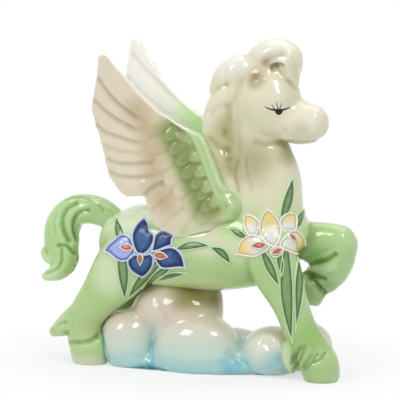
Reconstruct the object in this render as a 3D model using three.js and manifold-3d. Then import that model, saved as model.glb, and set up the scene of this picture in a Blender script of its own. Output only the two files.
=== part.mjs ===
// A glazed porcelain pegasus figurine, as the cast and hand-applied pieces that its maker lutes
// together with slip before firing. Millimetres: the pegasus faces +X, +Z is up, its right side
// faces -Y, and the origin is at the middle of its footprint, on the surface that it stands on.
import * as THREE from 'three';
import { mergeVertices } from 'three/addons/utils/BufferGeometryUtils.js';
import Module from 'manifold-3d';

const wasm = await Module();
wasm.setup();

const HEIGHT = 170; // from the ground to the top of the forelock
const UNIT = HEIGHT / 170; // the stations below are drawn on a grid that is 170 units high

/** Lengths and places on the grid, in millimetres. */
const grid = (value) => (Array.isArray(value) ? value.map(grid) : value * UNIT);

// Luting
const LUTE = 0.3; // slip joint between two castings
const SPRIG = 1.1; // thickness of an applied petal or leaf
const BEARD = 1.9; // height of an iris's beard over the body

const FLOOR_BLOCK = 3 * HEIGHT; // side of the block that cuts the feet and the cloud flat

// Faces around each form
const BODY_SIDES = 16;
const LIMB_SIDES = 12;
const LOCK_SIDES = 9;
const WING_SIDES = 8;
const FEATHER_SIDES = 4;
const DOME_ANGLES = [35, 65]; // where the rings of a rounded end lie, in degrees

const SIDEWAYS = new THREE.Vector3(0, 1, 0);
const RIGHT = -1;
const LEFT = 1;

// Glazes
const GLAZES = {
  leafGreen: { color: 0xa3cd84, roughness: 0.12 },
  ivory: { color: 0xe6e0c6, roughness: 0.12 },
  pearl: { color: 0xd9e2da, roughness: 0.12 },
  cobalt: { color: 0x2c4a8c, roughness: 0.15 },
  lavender: { color: 0x98a3dc, roughness: 0.15 },
  cream: { color: 0xf0dfa0, roughness: 0.15 },
  orange: { color: 0xd5682c, roughness: 0.15 },
  bladeGreen: { color: 0x5f9256, roughness: 0.15 },
};

// Solids

/** A closed geometry as a solid that can be cut and joined. */
function solidOf(geometry) {
  const bare = new THREE.BufferGeometry();
  bare.setAttribute('position', geometry.getAttribute('position'));
  bare.setIndex(geometry.getIndex());
  const merged = mergeVertices(bare, 1e-4);
  return new wasm.Manifold(new wasm.Mesh({
    numProp: 3,
    vertProperties: merged.getAttribute('position').array,
    triVerts: new Uint32Array(merged.getIndex().array),
  }));
}

/** Several solids as one. */
function joined(solids) {
  return solids.reduce((whole, solid) => whole.add(solid));
}

/** The largest body of a solid, without the crumbs that a cut can leave. */
function mainBody(solid) {
  const bodies = solid.decompose();
  return bodies.reduce((most, body) => (body.volume() > most.volume() ? body : most));
}

/** A smooth line through points, passing the nth point at n / (count - 1). */
function lineThrough(points) {
  return new THREE.CatmullRomCurve3(points.map((p) => new THREE.Vector3(...p)), false, 'catmullrom', 0.5);
}

/**
 * Skins oval sections strung along a smooth line. Each section is [x, y, z, wide, deep] on the grid:
 * its centre, its half-width along `across` and its half-depth square to that. An end is a dome of
 * the given share of the section's smaller half-size, or flat at 0. `grow` swells the whole form.
 */
function limb(sections, grow = 0, options = {}) {
  const { sides = LIMB_SIDES, steps = 2, across = SIDEWAYS, domes = [1, 1] } = options;
  const line = lineThrough(sections.map(([x, y, z]) => grid([x, y, z])));
  const girth = lineThrough(sections.map(([, , , wide, deep]) => grid([wide, deep, 0])));
  const count = (sections.length - 1) * steps;
  const positions = [];
  const addRing = (centre, ahead, wide, deep) => {
    const side = across.clone().addScaledVector(ahead, -across.dot(ahead)).normalize();
    const rise = ahead.clone().cross(side);
    for (let k = 0; k < sides; k += 1) {
      const angle = (2 * Math.PI * k) / sides;
      const point = centre.clone()
        .addScaledVector(side, wide * Math.cos(angle))
        .addScaledVector(rise, deep * Math.sin(angle));
      positions.push(...point.toArray());
    }
  };
  const ringAt = (t, past = 0, share = 1) => {
    const ahead = line.getTangent(t);
    const size = girth.getPoint(t);
    const centre = line.getPoint(t).addScaledVector(ahead, past);
    addRing(centre, ahead, (size.x + grow) * share, (size.y + grow) * share);
  };
  const domeOf = (t, share) => {
    const size = girth.getPoint(t);
    return share === 0 ? Math.max(grow, 0) : share * Math.min(size.x, size.y) + grow;
  };
  const tips = [];
  const ends = [[0, -1, domeOf(0, domes[0])], [1, 1, domeOf(1, domes[1])]];
  const endRings = ([t, way, height], share) => {
    if (share > 0) {
      DOME_ANGLES.forEach((degrees) => {
        const inOrder = way < 0 ? DOME_ANGLES[0] + DOME_ANGLES[1] - degrees : degrees;
        const angle = THREE.MathUtils.degToRad(inOrder);
        ringAt(t, way * height * Math.sin(angle), Math.cos(angle));
      });
    } else if (height > 0) {
      ringAt(t, way * height);
    }
    tips.push(line.getPoint(t).addScaledVector(line.getTangent(t), way * height));
  };
  endRings(ends[0], domes[0]);
  for (let i = 0; i <= count; i += 1) ringAt(i / count);
  endRings(ends[1], domes[1]);

  const rings = positions.length / 3 / sides;
  positions.push(...tips[0].toArray(), ...tips[1].toArray());
  const [startTip, endTip] = [rings * sides, rings * sides + 1];
  const index = [];
  for (let k = 0; k < sides; k += 1) {
    const next = (k + 1) % sides;
    index.push(startTip, next, k);
    for (let r = 0; r < rings - 1; r += 1) {
      const [a, b] = [r * sides + k, r * sides + next];
      index.push(a, b, b + sides, a, b + sides, a + sides);
    }
    const last = (rings - 1) * sides;
    index.push(endTip, last + k, last + next);
  }
  const geometry = new THREE.BufferGeometry();
  geometry.setAttribute('position', new THREE.Float32BufferAttribute(positions, 3));
  geometry.setIndex(index);
  return solidOf(geometry);
}

/** An ellipsoid at a centre, with half-sizes along x, y and z, all on the grid. */
function blob(centre, radii, grow = 0, segments = 12, rings = 7) {
  const geometry = new THREE.SphereGeometry(1, segments, rings);
  geometry.rotateX(Math.PI / 2);
  geometry.scale(...grid(radii).map((r) => r + grow));
  geometry.translate(...grid(centre));
  return solidOf(geometry);
}

/** All that is under the surface that the figurine stands on. */
function underground() {
  const geometry = new THREE.BoxGeometry(FLOOR_BLOCK, FLOOR_BLOCK, FLOOR_BLOCK);
  geometry.translate(0, 0, -FLOOR_BLOCK / 2);
  return solidOf(geometry);
}

// Body

const TORSO = [
  [-44, 0, 62, 14, 13],
  [-36, 0, 61, 18.5, 18],
  [-22, 0, 60, 20.5, 20.5],
  [-4, 0, 59.5, 21, 21],
  [14, 0, 61, 21, 21.5],
  [30, 0, 66, 21, 23],
  [42, 0, 71, 18.5, 20],
  [47.5, 0, 74, 12.5, 14],
];
const NECK = [
  [33, 0, 74, 18, 23],
  [36, 0, 87, 16.5, 21.5],
  [38, 0, 98, 14.5, 18],
  [36.5, 0, 108, 13, 15.5],
  [35, 0, 118, 12, 13.5],
  [36, 0, 126, 11.5, 12],
];
const SKULL = { centre: [39, 0, 137], radii: [17, 15, 20] };
const MUZZLE = [
  [42, 0, 134, 12, 13.5],
  [51, 0, 130.5, 9.5, 10.5],
  [57, 0, 128.6, 9.2, 9.8],
  [62.5, 0, 128.2, 8.8, 9.6],
];
const CHIN = [
  [46, 0, 122.5, 7.5, 4.5],
  [54, 0, 120.2, 6.8, 3.6],
  [60, 0, 120.5, 5.6, 3.2],
];

const torso = (grow) => limb(TORSO, grow, { sides: BODY_SIDES });
const neck = (grow) => limb(NECK, grow, { sides: BODY_SIDES });
const head = (grow) => joined([
  blob(SKULL.centre, SKULL.radii, grow, BODY_SIDES, 10),
  limb(MUZZLE, grow, { sides: 14 }),
  limb(CHIN, grow, { sides: 10 }),
]);

// Legs: the right foreleg and both hind legs stand, and the left foreleg is raised and folded

const RIGHT_FORELEG = [
  [42, -11, 66, 10, 15],
  [49.5, -12.2, 51, 9.3, 12.5],
  [56, -13, 38, 8, 9.5],
  [60.5, -13.6, 27, 7.5, 8.6],
  [65, -14, 17, 8, 8.8],
  [71, -14.2, 9, 9, 10],
  [72.6, -14.2, -2, 8.4, 9.2],
];
const RIGHT_HIND_LEG = [
  [-29, -10.5, 58, 10.5, 16],
  [-38, -12.5, 45, 9.5, 14],
  [-47, -13.2, 33.5, 8.5, 10.5],
  [-53.5, -13.4, 24, 7.8, 9.4],
  [-54.5, -13.2, 14.5, 8.2, 9.2],
  [-52, -13, 7, 9.2, 10],
  [-52, -13, -2, 8.2, 9],
];
const LEFT_HIND_LEG = [
  [-29, 10.5, 58, 10.5, 16],
  [-35, 12.5, 44, 9.5, 13],
  [-40, 13.2, 32, 8.5, 10],
  [-43.5, 13.4, 22, 7.8, 9.2],
  [-44, 13.2, 14, 8.2, 9.2],
  [-43, 13, 7, 9.2, 10],
  [-43, 13, -2, 8.2, 9],
];
const LEFT_FOREARM = [
  [40, 9, 68, 9, 12],
  [55, 10.5, 66.5, 8.2, 9.5],
  [66, 11, 66.3, 8.2, 9.2],
  [73.5, 11, 66, 8, 9],
];
const LEFT_CANNON = [
  [75, 11, 64.5, 7.8, 8.2],
  [73, 11, 56, 7.6, 8.6],
  [67.5, 11, 50.5, 7.2, 8],
  [62, 11, 47.5, 6.8, 7],
];
const LEFT_HOOF = [
  [63, 11, 47, 6.8, 7],
  [58, 11, 42.6, 8, 8.6],
  [54.5, 11, 38, 8.2, 9],
];
const FORE_TUFT = [
  [60, -15.5, 25, 2.5, 2.5],
  [57, -16, 16, 5, 4],
  [58.5, -15.5, 7.5, 2.4, 2.6],
];
const RIGHT_HIND_TUFT = [
  [-57, -13.5, 24.5, 4, 5.5],
  [-64.5, -13.5, 19, 4.8, 5.6],
  [-71, -13.5, 14.5, 2.6, 3.2],
];
const LEFT_HIND_TUFT = [
  [-46.5, 13.5, 24.5, 4, 5.5],
  [-54, 13.5, 19, 4.8, 5.6],
  [-60.5, 13.5, 14.5, 2.6, 3.2],
];

/** A leg that stands on the ground, with the tuft of hair behind its fetlock. */
function standingLeg(sections, tuft, grow) {
  return joined([
    limb(sections, grow, { domes: [1, 0] }),
    limb(tuft, grow, { sides: LOCK_SIDES }),
  ]).subtract(underground());
}

const rightForeleg = (grow) => standingLeg(RIGHT_FORELEG, FORE_TUFT, grow);
const rightHindLeg = (grow) => standingLeg(RIGHT_HIND_LEG, RIGHT_HIND_TUFT, grow);
const leftHindLeg = (grow) => standingLeg(LEFT_HIND_LEG, LEFT_HIND_TUFT, grow);
const leftForeleg = (grow) => joined([
  limb(LEFT_FOREARM, grow),
  limb(LEFT_CANNON, grow),
  limb(LEFT_HOOF, grow, { domes: [1, 0.25] }),
]);

// Hair

const TAIL_LOCKS = [
  [
    [-43, 0, 70, 5.5, 6],
    [-50, 0, 74, 7, 7],
    [-58, 0, 75.5, 8, 7.4],
    [-66, 0, 73.5, 8.5, 8],
    [-71.5, 0, 66.5, 8.5, 9],
    [-72.5, 0, 57, 8, 9],
    [-71.5, 0, 48.5, 7, 7.6],
    [-75, 0, 42.5, 5, 5],
    [-81, 0, 39.5, 2, 2.4],
  ],
  [
    [-72, -3, 55, 5, 6],
    [-77, -3, 50, 3.6, 4],
    [-80, -3, 52.5, 2.6, 2.8],
  ],
];
const FORELOCK = [
  [31, 0, 152, 8, 6.5],
  [36.5, 0, 159, 8.5, 8],
  [43.5, 0, 162, 8.5, 7.8],
  [50, 0, 160, 8, 7.6],
  [53, 0, 155, 6, 4.6],
  [55, -1, 149, 2.4, 1.8],
];
const MANE_LOCKS = [
  [[34, 0, 152, 8, 7], [25, -1, 152.5, 9, 8], [18, -3, 148, 8, 7.5], [14, -5, 142.5, 4.5, 5]],
  [
    [24, -4, 146, 6, 7],
    [17, -6, 136, 6.5, 7.5],
    [13.5, -7.5, 124, 6, 7],
    [16.5, -9.5, 112, 5, 6],
    [21, -11, 101, 3, 3.5],
  ],
  [
    [27, -7, 140, 5, 6], [24, -8, 128, 5, 6.5], [23, -9.5, 116, 5, 6.5], [25, -11, 104, 5, 6],
    [29, -13, 92, 3, 3.5],
  ],
  [[24, 3, 146, 7, 7], [17, 4, 134, 7, 7.5], [14.5, 4, 120, 7, 7], [17, 5, 106, 6, 6], [21, 6, 95, 4, 4]],
];
const EAR = { reach: 6.5, sunk: 2, root: 4.4, lip: 4.9, cup: 3.2, dimple: 1.8, roll: 1.2 };
const EAR_TILT = THREE.MathUtils.degToRad(28); // rise of the ear above level, out to its side
const EAR_UP = THREE.MathUtils.degToRad(42); // how far round the skull it is seated, up from the side
const EAR_BACK = THREE.MathUtils.degToRad(11.4); // and back from straight across

const tail = (grow) => joined(TAIL_LOCKS.map((lock) => limb(lock, grow)));
const forelock = (grow) => limb(FORELOCK, grow);
const mane = (grow) => joined(MANE_LOCKS.map((lock) => limb(lock, grow, { sides: LOCK_SIDES })));

/** Where on the grid an ear meets the skull. */
function earSeat(side) {
  const out = Math.cos(EAR_UP);
  const toSeat = [-Math.sin(EAR_BACK) * out, side * Math.cos(EAR_BACK) * out, Math.sin(EAR_UP)];
  return SKULL.centre.map((middle, axis) => middle + SKULL.radii[axis] * toSeat[axis]);
}

/** A short cup-shaped ear, which points out and up from its side of the head. */
function ear(side, grow) {
  const { reach, sunk, root, lip, cup, dimple, roll } = EAR;
  const profile = [
    [0, -reach - grow],
    [root + grow, -reach - grow],
    [lip + grow, 0],
    [(lip + cup) / 2 + grow, roll + grow],
    [cup, roll / 2 + grow],
    [0, grow - dimple],
  ].map(([r, z]) => new THREE.Vector2(r, z));
  const geometry = new THREE.LatheGeometry(profile, LIMB_SIDES);
  geometry.translate(0, reach - sunk, 0);
  geometry.rotateX(side > 0 ? EAR_TILT : Math.PI - EAR_TILT);
  geometry.translate(...grid(earSeat(side)));
  return solidOf(geometry);
}

// Wings: feathers in three rows, fanned from an arm between the shoulder and the wrist

const WING_ARM = [[29, 81], [24, 92], [15, 106], [7, 118.5], [-5, 124.5]]; // x and z
const FLIGHT_TIPS = [ // x, z and how far the feather sags between its root and tip
  [16, 75.5, 0], [4, 72, 0], [-8, 70.5, 0], [-16, 77, 0], [-18.5, 86, 0.5], [-36, 95, 4], [-39.5, 103, 1.5],
  [-41.5, 109.5, 1], [-44, 118.5, 1.5], [-46, 129.5, 2.2], [-45, 142, 2.7], [-41.5, 156.5, 3.6],
];
const WING_LEAN = [[60, 18.5], [88, 17.6], [105, 14.8], [122, 12.5], [160, 12.5]]; // z, and how far out
const WING_SPREAD = [[60, 0.03], [85, 0.05], [115, 0.16], [160, 0.22]]; // z, and its splay behind the arm
const ROWS = [
  { feathers: FLIGHT_TIPS.length, to: 1, reach: 1, width: 5.6, thick: 1.9, lift: 0 },
  { feathers: 7, to: 0.86, reach: 0.46, width: 5.6, thick: 1.8, lift: 1 },
  { feathers: 7, to: 0.86, reach: 0.27, width: 4.6, thick: 1.9, lift: 2.1 },
];
const FEATHER_SHAPE = [[0, 0.6], [0.45, 0.9], [0.9, 1.05], [1, 0.66]]; // how far along, and share of width
const ARM_BAR = [ // x, z, half-thickness and half-depth
  [27.5, 82, 4.4, 5.6],
  [24.5, 91, 4.3, 4.6],
  [16, 104, 4, 4],
  [10, 116.5, 3.6, 3.2],
  [0, 122.5, 3, 2.6],
  [-8, 126, 2.2, 2],
];
const WING_ROOT = [ // x, half the distance between the wings' roots, z, half-thickness and half-depth
  [30, 15, 82, 5, 6],
  [14, 15.5, 80, 4, 8],
  [-4, 15.5, 76, 3, 6],
];
const ARM_PROUD = 1; // how far the arm stands out from the feathers

/** The second value of a table at a first value. */
function valueAt(table, at) {
  const above = table.findIndex(([first]) => first >= at);
  const after = above < 0 ? table.length - 1 : Math.max(above, 1);
  const [[from, low], [to, high]] = [table[after - 1], table[after]];
  return low + ((high - low) * (at - from)) / (to - from);
}

/** How far out from the middle of the body a wing lies at a place. */
function wingLean(x, z) {
  return valueAt(WING_LEAN, z) + valueAt(WING_SPREAD, z) * Math.max(0, 2 - x);
}

/** One feather of a row, from the arm out towards the wing's edge. */
function feather(side, row, share, grow) {
  const arm = lineThrough(WING_ARM.map(([x, z]) => [x, 0, z]));
  const flight = share * (FLIGHT_TIPS.length - 1);
  const [below, above] = [FLIGHT_TIPS[Math.floor(flight)], FLIGHT_TIPS[Math.ceil(flight)]];
  const [tipX, tipZ, sag] = below.map((value, k) => value + (above[k] - value) * (flight % 1));
  const root = arm.getPoint(0.08 + 0.92 * share);
  const tip = root.clone().lerp(new THREE.Vector3(tipX, 0, tipZ), row.reach);
  const sections = FEATHER_SHAPE.map(([along, size]) => {
    const point = root.clone().lerp(tip, along);
    const z = point.z - sag * row.reach * 4 * along * (1 - along);
    const thin = row.thick * (1 - 0.35 * along);
    return [point.x, side * (wingLean(point.x, z) + row.lift), z, thin, row.width * size];
  });
  return limb(sections, grow, { sides: FEATHER_SIDES, steps: 1, domes: [0, 0] });
}

/** A wing with its rows of feathers, its arm and the root that seats it on the shoulder and flank. */
function wing(side, grow) {
  const solids = [];
  ROWS.forEach((row) => {
    for (let i = 0; i < row.feathers; i += 1) {
      solids.push(feather(side, row, (row.to * i) / (row.feathers - 1), grow));
    }
  });
  const arm = ARM_BAR.map(([x, z, thick, deep]) => [x, side * (wingLean(x, z) + ARM_PROUD), z, thick, deep]);
  const root = WING_ROOT.map(([x, y, z, thick, deep]) => [x, side * y, z, thick, deep]);
  solids.push(limb(arm, grow, { sides: WING_SIDES }), limb(root, grow, { sides: WING_SIDES }));
  return joined(solids);
}

// Cloud

const CLOUD_LOBES = [
  { centre: [-33, -8, 14], radii: [14.5, 14.5, 14.4] },
  { centre: [4, -9.5, 14.2], radii: [22.5, 16, 14.6] },
  { centre: [43.5, -5, 12], radii: [16, 14.5, 12.4] },
  { centre: [26, -8, 4], radii: [12, 10, 4.6] },
  { centre: [56, 5, 13], radii: [15, 14, 13.2] },
  { centre: [-22, 9, 14], radii: [17, 15, 14.4] },
  { centre: [16, 9.5, 9], radii: [20, 16, 9.6] },
  { centre: [40, 10, 9.4], radii: [14, 13.5, 10] },
  { centre: [-9, -2, 28], radii: [24, 17, 15] },
  { centre: [5, 0, 33], radii: [9, 10, 12] },
];
const CLOUD_BED = { centre: [6, 0, 5], radii: [46, 16, 9] };
const CLOUD_RECESS = { centre: [6, 0, 0], radii: [29, 8.5, 12] };

/** The cloud's outer form, flat underneath. */
const cloud = (grow) => {
  const lobes = [...CLOUD_LOBES, CLOUD_BED].map(({ centre, radii }) => blob(centre, radii, grow));
  return joined(lobes).subtract(underground());
};

/** The cloud as it is cast, open underneath. */
const hollowCloud = (grow) => cloud(grow).subtract(blob(CLOUD_RECESS.centre, CLOUD_RECESS.radii, -grow));

// Irises and their leaves, which are cut out of a layer over the right side of the body. Each is
// drawn on the grid as the viewer sees it, from the right and a little ahead: `foot` and `tip` are
// [across, height] in that view.

const VIEW_TURN = THREE.MathUtils.degToRad(22);
const LAYER_DEPTH = 40; // how far out a petal's outline is cut
const MIDLINE = 2; // how far out from the middle plane those on the trunk are cut from
const LEG_MIDLINE = grid(-RIGHT_FORELEG[1][1]); // and those on a leg
const OUTLINE_STEPS = 5; // along each side of a petal or leaf

const BLUE_IRIS = [
  { name: 'left_beard', foot: [-31, 60.8], tip: [-37.6, 61.2], wide: 2.6, glaze: 'orange', height: BEARD },
  { name: 'lower_beard', foot: [-27.2, 59.2], tip: [-27.5, 53.6], wide: 2.8,
    glaze: 'orange', height: BEARD },
  { name: 'right_beard', foot: [-20.4, 58.9], tip: [-14.6, 58.7], wide: 2.6,
    glaze: 'orange', height: BEARD },
  { name: 'centre_standard', foot: [-28.8, 59.6], tip: [-25.2, 75.6], wide: 10.2,
    full: 0.45, glaze: 'cobalt' },
  { name: 'right_standard', foot: [-22.8, 60.4], tip: [-10.8, 68.6], wide: 7.6,
    full: 0.6, bend: 1, glaze: 'cobalt' },
  { name: 'left_fall', foot: [-30, 60.6], tip: [-45.8, 58.3], wide: 11,
    full: 0.42, bend: -0.8, glaze: 'lavender' },
  { name: 'lower_fall', foot: [-27, 60.4], tip: [-27, 47], wide: 12.6, full: 0.45, glaze: 'cobalt' },
  { name: 'right_fall', foot: [-21.6, 59.4], tip: [-5, 53.4], wide: 9.6,
    full: 0.58, bend: 0.8, glaze: 'cobalt' },
];
const IVORY_IRIS = [
  { name: 'left_beard', foot: [35.2, 67.6], tip: [27.8, 67.2], wide: 2.8, glaze: 'orange', height: BEARD },
  { name: 'lower_beard', foot: [42.4, 66.4], tip: [37.9, 64.6], wide: 2.6, glaze: 'orange', height: BEARD },
  { name: 'right_beard', foot: [45.2, 72], tip: [48.8, 69], wide: 2.2, glaze: 'orange', height: BEARD },
  { name: 'centre_standard', foot: [39.2, 67.8], tip: [35.2, 85.6], wide: 10, full: 0.46, glaze: 'cream' },
  { name: 'left_standard', foot: [30.4, 71.8], tip: [24.8, 82.4], wide: 6.6,
    full: 0.5, bend: -0.6, glaze: 'cream' },
  { name: 'right_standard', foot: [43.4, 72.8], tip: [48.6, 82.4], wide: 7, full: 0.6, glaze: 'cream' },
  { name: 'lower_fall', foot: [39.8, 68.4], tip: [40.4, 62], wide: 7.6, full: 0.55, glaze: 'cream' },
  { name: 'left_fall', foot: [37.2, 67.6], tip: [20.6, 62.8], wide: 9.4,
    full: 0.46, bend: -1, glaze: 'cream' },
  { name: 'right_fall', foot: [42.2, 69.6], tip: [52.4, 65.4], wide: 9.6, full: 0.55, glaze: 'cream' },
];
const LEAVES = [
  { name: 'rump', foot: [-37.8, 66.4], tip: [-39.2, 74.6], wide: 2.8 },
  { name: 'thigh', foot: [-35.8, 35], tip: [-37.2, 55.4], wide: 4.4, bend: 0.5, out: LEG_MIDLINE },
  { name: 'stifle', foot: [-34, 34], tip: [-20.6, 52.6], wide: 4.6, bend: 1.2, out: LEG_MIDLINE },
  { name: 'groin', foot: [-26.4, 37], tip: [-15.4, 49.8], wide: 2.8, bend: 1 },
  { name: 'belly', foot: [-18.6, 43.4], tip: [-6, 48.6], wide: 2.2, bend: 0.8 },
  { name: 'flank', foot: [-9.4, 61.8], tip: [7, 65.4], wide: 3.8, bend: 1 },
  { name: 'girth', foot: [8.2, 63.8], tip: [17, 56], wide: 3.6, bend: 1 },
  { name: 'elbow', foot: [25.6, 71.4], tip: [16.6, 75.4], wide: 3, bend: 0.4 },
  { name: 'throat', foot: [41.6, 82], tip: [47.6, 101], wide: 4, bend: -0.8 },
  { name: 'chest', foot: [50.4, 75.6], tip: [53.8, 84], wide: 2.8, bend: 0.5 },
  { name: 'forearm', foot: [41, 48], tip: [33.8, 62], wide: 2.8, out: LEG_MIDLINE },
  { name: 'forearm_bud', foot: [42.2, 55.4], tip: [42, 61], wide: 1.8, out: LEG_MIDLINE },
  { name: 'shin', foot: [47.9, 20.6], tip: [45.2, 63], wide: 5.2, bend: 1.2, out: LEG_MIDLINE },
  { name: 'shin_edge', foot: [49.6, 26.8], tip: [50.8, 58.6], wide: 3.4,
    full: 0.4, bend: -0.3, out: LEG_MIDLINE },
];

const flankLayers = new Map();

/** The body under the flowers, swollen by `grow`. */
function flank(grow) {
  if (!flankLayers.has(grow)) {
    flankLayers.set(grow, joined([torso(grow), neck(grow), rightForeleg(grow), rightHindLeg(grow)]));
  }
  return flankLayers.get(grow);
}

/** The block that cuts a petal or leaf, `wide` at `full` of its length and bowed sideways by `bend`. */
function cutter({ foot, tip, wide, full = 0.5, bend = 0, out = MIDLINE }, grow) {
  const from = new THREE.Vector2(...grid(foot));
  const to = new THREE.Vector2(...grid(tip));
  const ahead = to.clone().sub(from).normalize();
  const aside = new THREE.Vector2(-ahead.y, ahead.x);
  from.addScaledVector(ahead, -grow);
  to.addScaledVector(ahead, grow);
  const peak = Math.log(0.5) / Math.log(full);
  const edge = (t, way) => {
    const half = grid(wide / 2) * Math.sin(Math.PI * t ** peak) + grow;
    return from.clone().lerp(to, t).addScaledVector(aside, way * half + grid(4 * bend) * t * (1 - t));
  };
  const points = [from.clone()];
  for (let i = 1; i < OUTLINE_STEPS; i += 1) points.push(edge(i / OUTLINE_STEPS, -1));
  points.push(to.clone());
  for (let i = OUTLINE_STEPS - 1; i > 0; i -= 1) points.push(edge(i / OUTLINE_STEPS, 1));
  const outline = new THREE.Shape(points);
  const block = new THREE.ExtrudeGeometry(outline, { depth: LAYER_DEPTH, bevelEnabled: false });
  const across = grid(foot[0] + tip[0]) / 2;
  block.translate(0, 0, across * Math.tan(VIEW_TURN) + out / Math.cos(VIEW_TURN));
  block.applyMatrix4(new THREE.Matrix4().makeBasis(
    new THREE.Vector3(Math.cos(VIEW_TURN), Math.sin(VIEW_TURN), 0),
    new THREE.Vector3(0, 0, 1),
    new THREE.Vector3(Math.sin(VIEW_TURN), -Math.cos(VIEW_TURN), 0),
  ));
  return solidOf(block);
}

// Assembly

const figurine = new THREE.Group();
figurine.name = 'pegasus_figurine';

/** Adds a solid to the figurine as a named piece. */
function addPiece(name, solid, glaze) {
  const { vertProperties, triVerts } = solid.getMesh();
  const geometry = new THREE.BufferGeometry();
  geometry.setAttribute('position', new THREE.BufferAttribute(vertProperties, 3));
  geometry.setIndex(new THREE.BufferAttribute(triVerts, 1));
  geometry.computeVertexNormals();
  const material = new THREE.MeshStandardMaterial({ ...GLAZES[glaze], metalness: 0 });
  const mesh = new THREE.Mesh(geometry, material);
  mesh.name = name;
  figurine.add(mesh);
}

/** Adds a form cut back from those that carry it, with a slip joint between. */
function addCasting(name, form, carriers, glaze) {
  const solid = carriers.reduce((left, carrier) => left.subtract(carrier(LUTE)), form(0));
  addPiece(name, mainBody(solid), glaze);
}

const rightWing = (grow) => wing(RIGHT, grow);
const leftWing = (grow) => wing(LEFT, grow);
const rightEar = (grow) => ear(RIGHT, grow);
const leftEar = (grow) => ear(LEFT, grow);

addCasting('torso', torso, [], 'leafGreen');
addCasting('neck', neck, [torso], 'ivory');
addCasting('head', head, [neck], 'ivory');
addCasting('left_foreleg', leftForeleg, [torso, neck], 'leafGreen');
addCasting('right_foreleg', rightForeleg, [torso, neck, leftForeleg], 'leafGreen');
addCasting('right_hind_leg', rightHindLeg, [torso], 'leafGreen');
addCasting('left_hind_leg', leftHindLeg, [torso, rightHindLeg], 'leafGreen');
addCasting('tail', tail, [torso, rightHindLeg, leftHindLeg], 'leafGreen');
const legs = [rightHindLeg, leftHindLeg, rightForeleg, leftForeleg];
addCasting('cloud_base', hollowCloud, [torso, ...legs], 'pearl');
addCasting('right_wing', rightWing, [torso, neck, rightForeleg, rightHindLeg], 'ivory');
addCasting('left_wing', leftWing, [torso, neck, leftForeleg, leftHindLeg], 'ivory');
addCasting('mane', mane, [torso, neck, head, rightWing, leftWing], 'ivory');
addCasting('forelock', forelock, [head, mane], 'ivory');
addCasting('right_ear', rightEar, [head, mane, forelock], 'ivory');
addCasting('left_ear', leftEar, [head, mane, forelock], 'ivory');

const laid = [];

/** Lays a petal or leaf on the body, trimmed against the wing, the cloud and those laid before it. */
function addSprig(name, sprig, glaze, height = SPRIG) {
  const outer = cutter(sprig, 0).intersect(flank(LUTE + height)).subtract(flank(LUTE));
  const around = [rightWing(LUTE), cloud(LUTE), ...laid];
  const solid = around.reduce((left, other) => left.subtract(other), outer);
  laid.push(cutter(sprig, LUTE).intersect(flank(LUTE + height)));
  addPiece(name, mainBody(solid), glaze);
}

/** Lays an iris petal by petal. */
function addIris(iris, petals) {
  petals.forEach(({ name, glaze, height, ...petal }) => {
    addSprig(`${iris}_iris_${name}`, petal, glaze, height);
  });
}

addIris('blue', BLUE_IRIS);
addIris('ivory', IVORY_IRIS);
LEAVES.forEach(({ name, ...sprig }) => addSprig(`${name}_leaf`, sprig, 'bladeGreen'));

export default figurine;
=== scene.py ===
"""The looks of a glazed porcelain pegasus figurine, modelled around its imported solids.

Lengths in the tables are millimetres in the figurine's own frame: it faces +X, +Z is up and its
right side faces -Y. Places seen on the right side are also given as a sitter in front of it would
mark them on a picture, in a frame of 400 by 400 with two marks to the millimetre.
"""

import logging
import math
from collections.abc import Iterator
from contextlib import contextmanager
from dataclasses import dataclass
from enum import Enum

import bmesh
import bpy
import numpy as np
from mathutils import Matrix, Vector
from mathutils.bvhtree import BVHTree


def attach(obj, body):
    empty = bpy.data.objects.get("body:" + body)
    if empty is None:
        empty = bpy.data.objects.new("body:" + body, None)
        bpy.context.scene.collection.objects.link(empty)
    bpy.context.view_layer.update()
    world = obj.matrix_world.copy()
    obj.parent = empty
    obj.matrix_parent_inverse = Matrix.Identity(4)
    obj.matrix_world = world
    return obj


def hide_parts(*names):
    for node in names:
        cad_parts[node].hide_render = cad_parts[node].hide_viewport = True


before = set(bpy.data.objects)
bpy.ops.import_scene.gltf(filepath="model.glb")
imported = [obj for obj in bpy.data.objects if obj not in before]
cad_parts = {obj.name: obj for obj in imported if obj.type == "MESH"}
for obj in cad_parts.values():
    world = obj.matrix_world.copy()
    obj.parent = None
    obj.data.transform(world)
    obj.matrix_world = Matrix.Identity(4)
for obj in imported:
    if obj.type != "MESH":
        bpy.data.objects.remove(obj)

log = logging.getLogger("figurine")

MM = 0.001
Place = tuple[float, float, float]
Mark = tuple[float, float]
Section = tuple[float, ...]
Sections = tuple[Section, ...]
ROOT = "root"
WHITE = (1.0, 1.0, 1.0, 1.0)
FAR = 1e9  # further than anything lies
CLOSED_STEPS = 6  # steps of a closed line from one mark to the next


class Slot(Enum):
    """The material slots."""

    GREEN = "green_glaze"
    IVORY = "ivory_glaze"
    WING = "wing_glaze"
    CLOUD = "cloud_glaze"
    BLUE = "blue_enamel"
    LAVENDER = "lavender_enamel"
    CREAM = "cream_enamel"
    ORANGE = "orange_enamel"
    LEAF = "leaf_enamel"


# Sight lines


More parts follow.
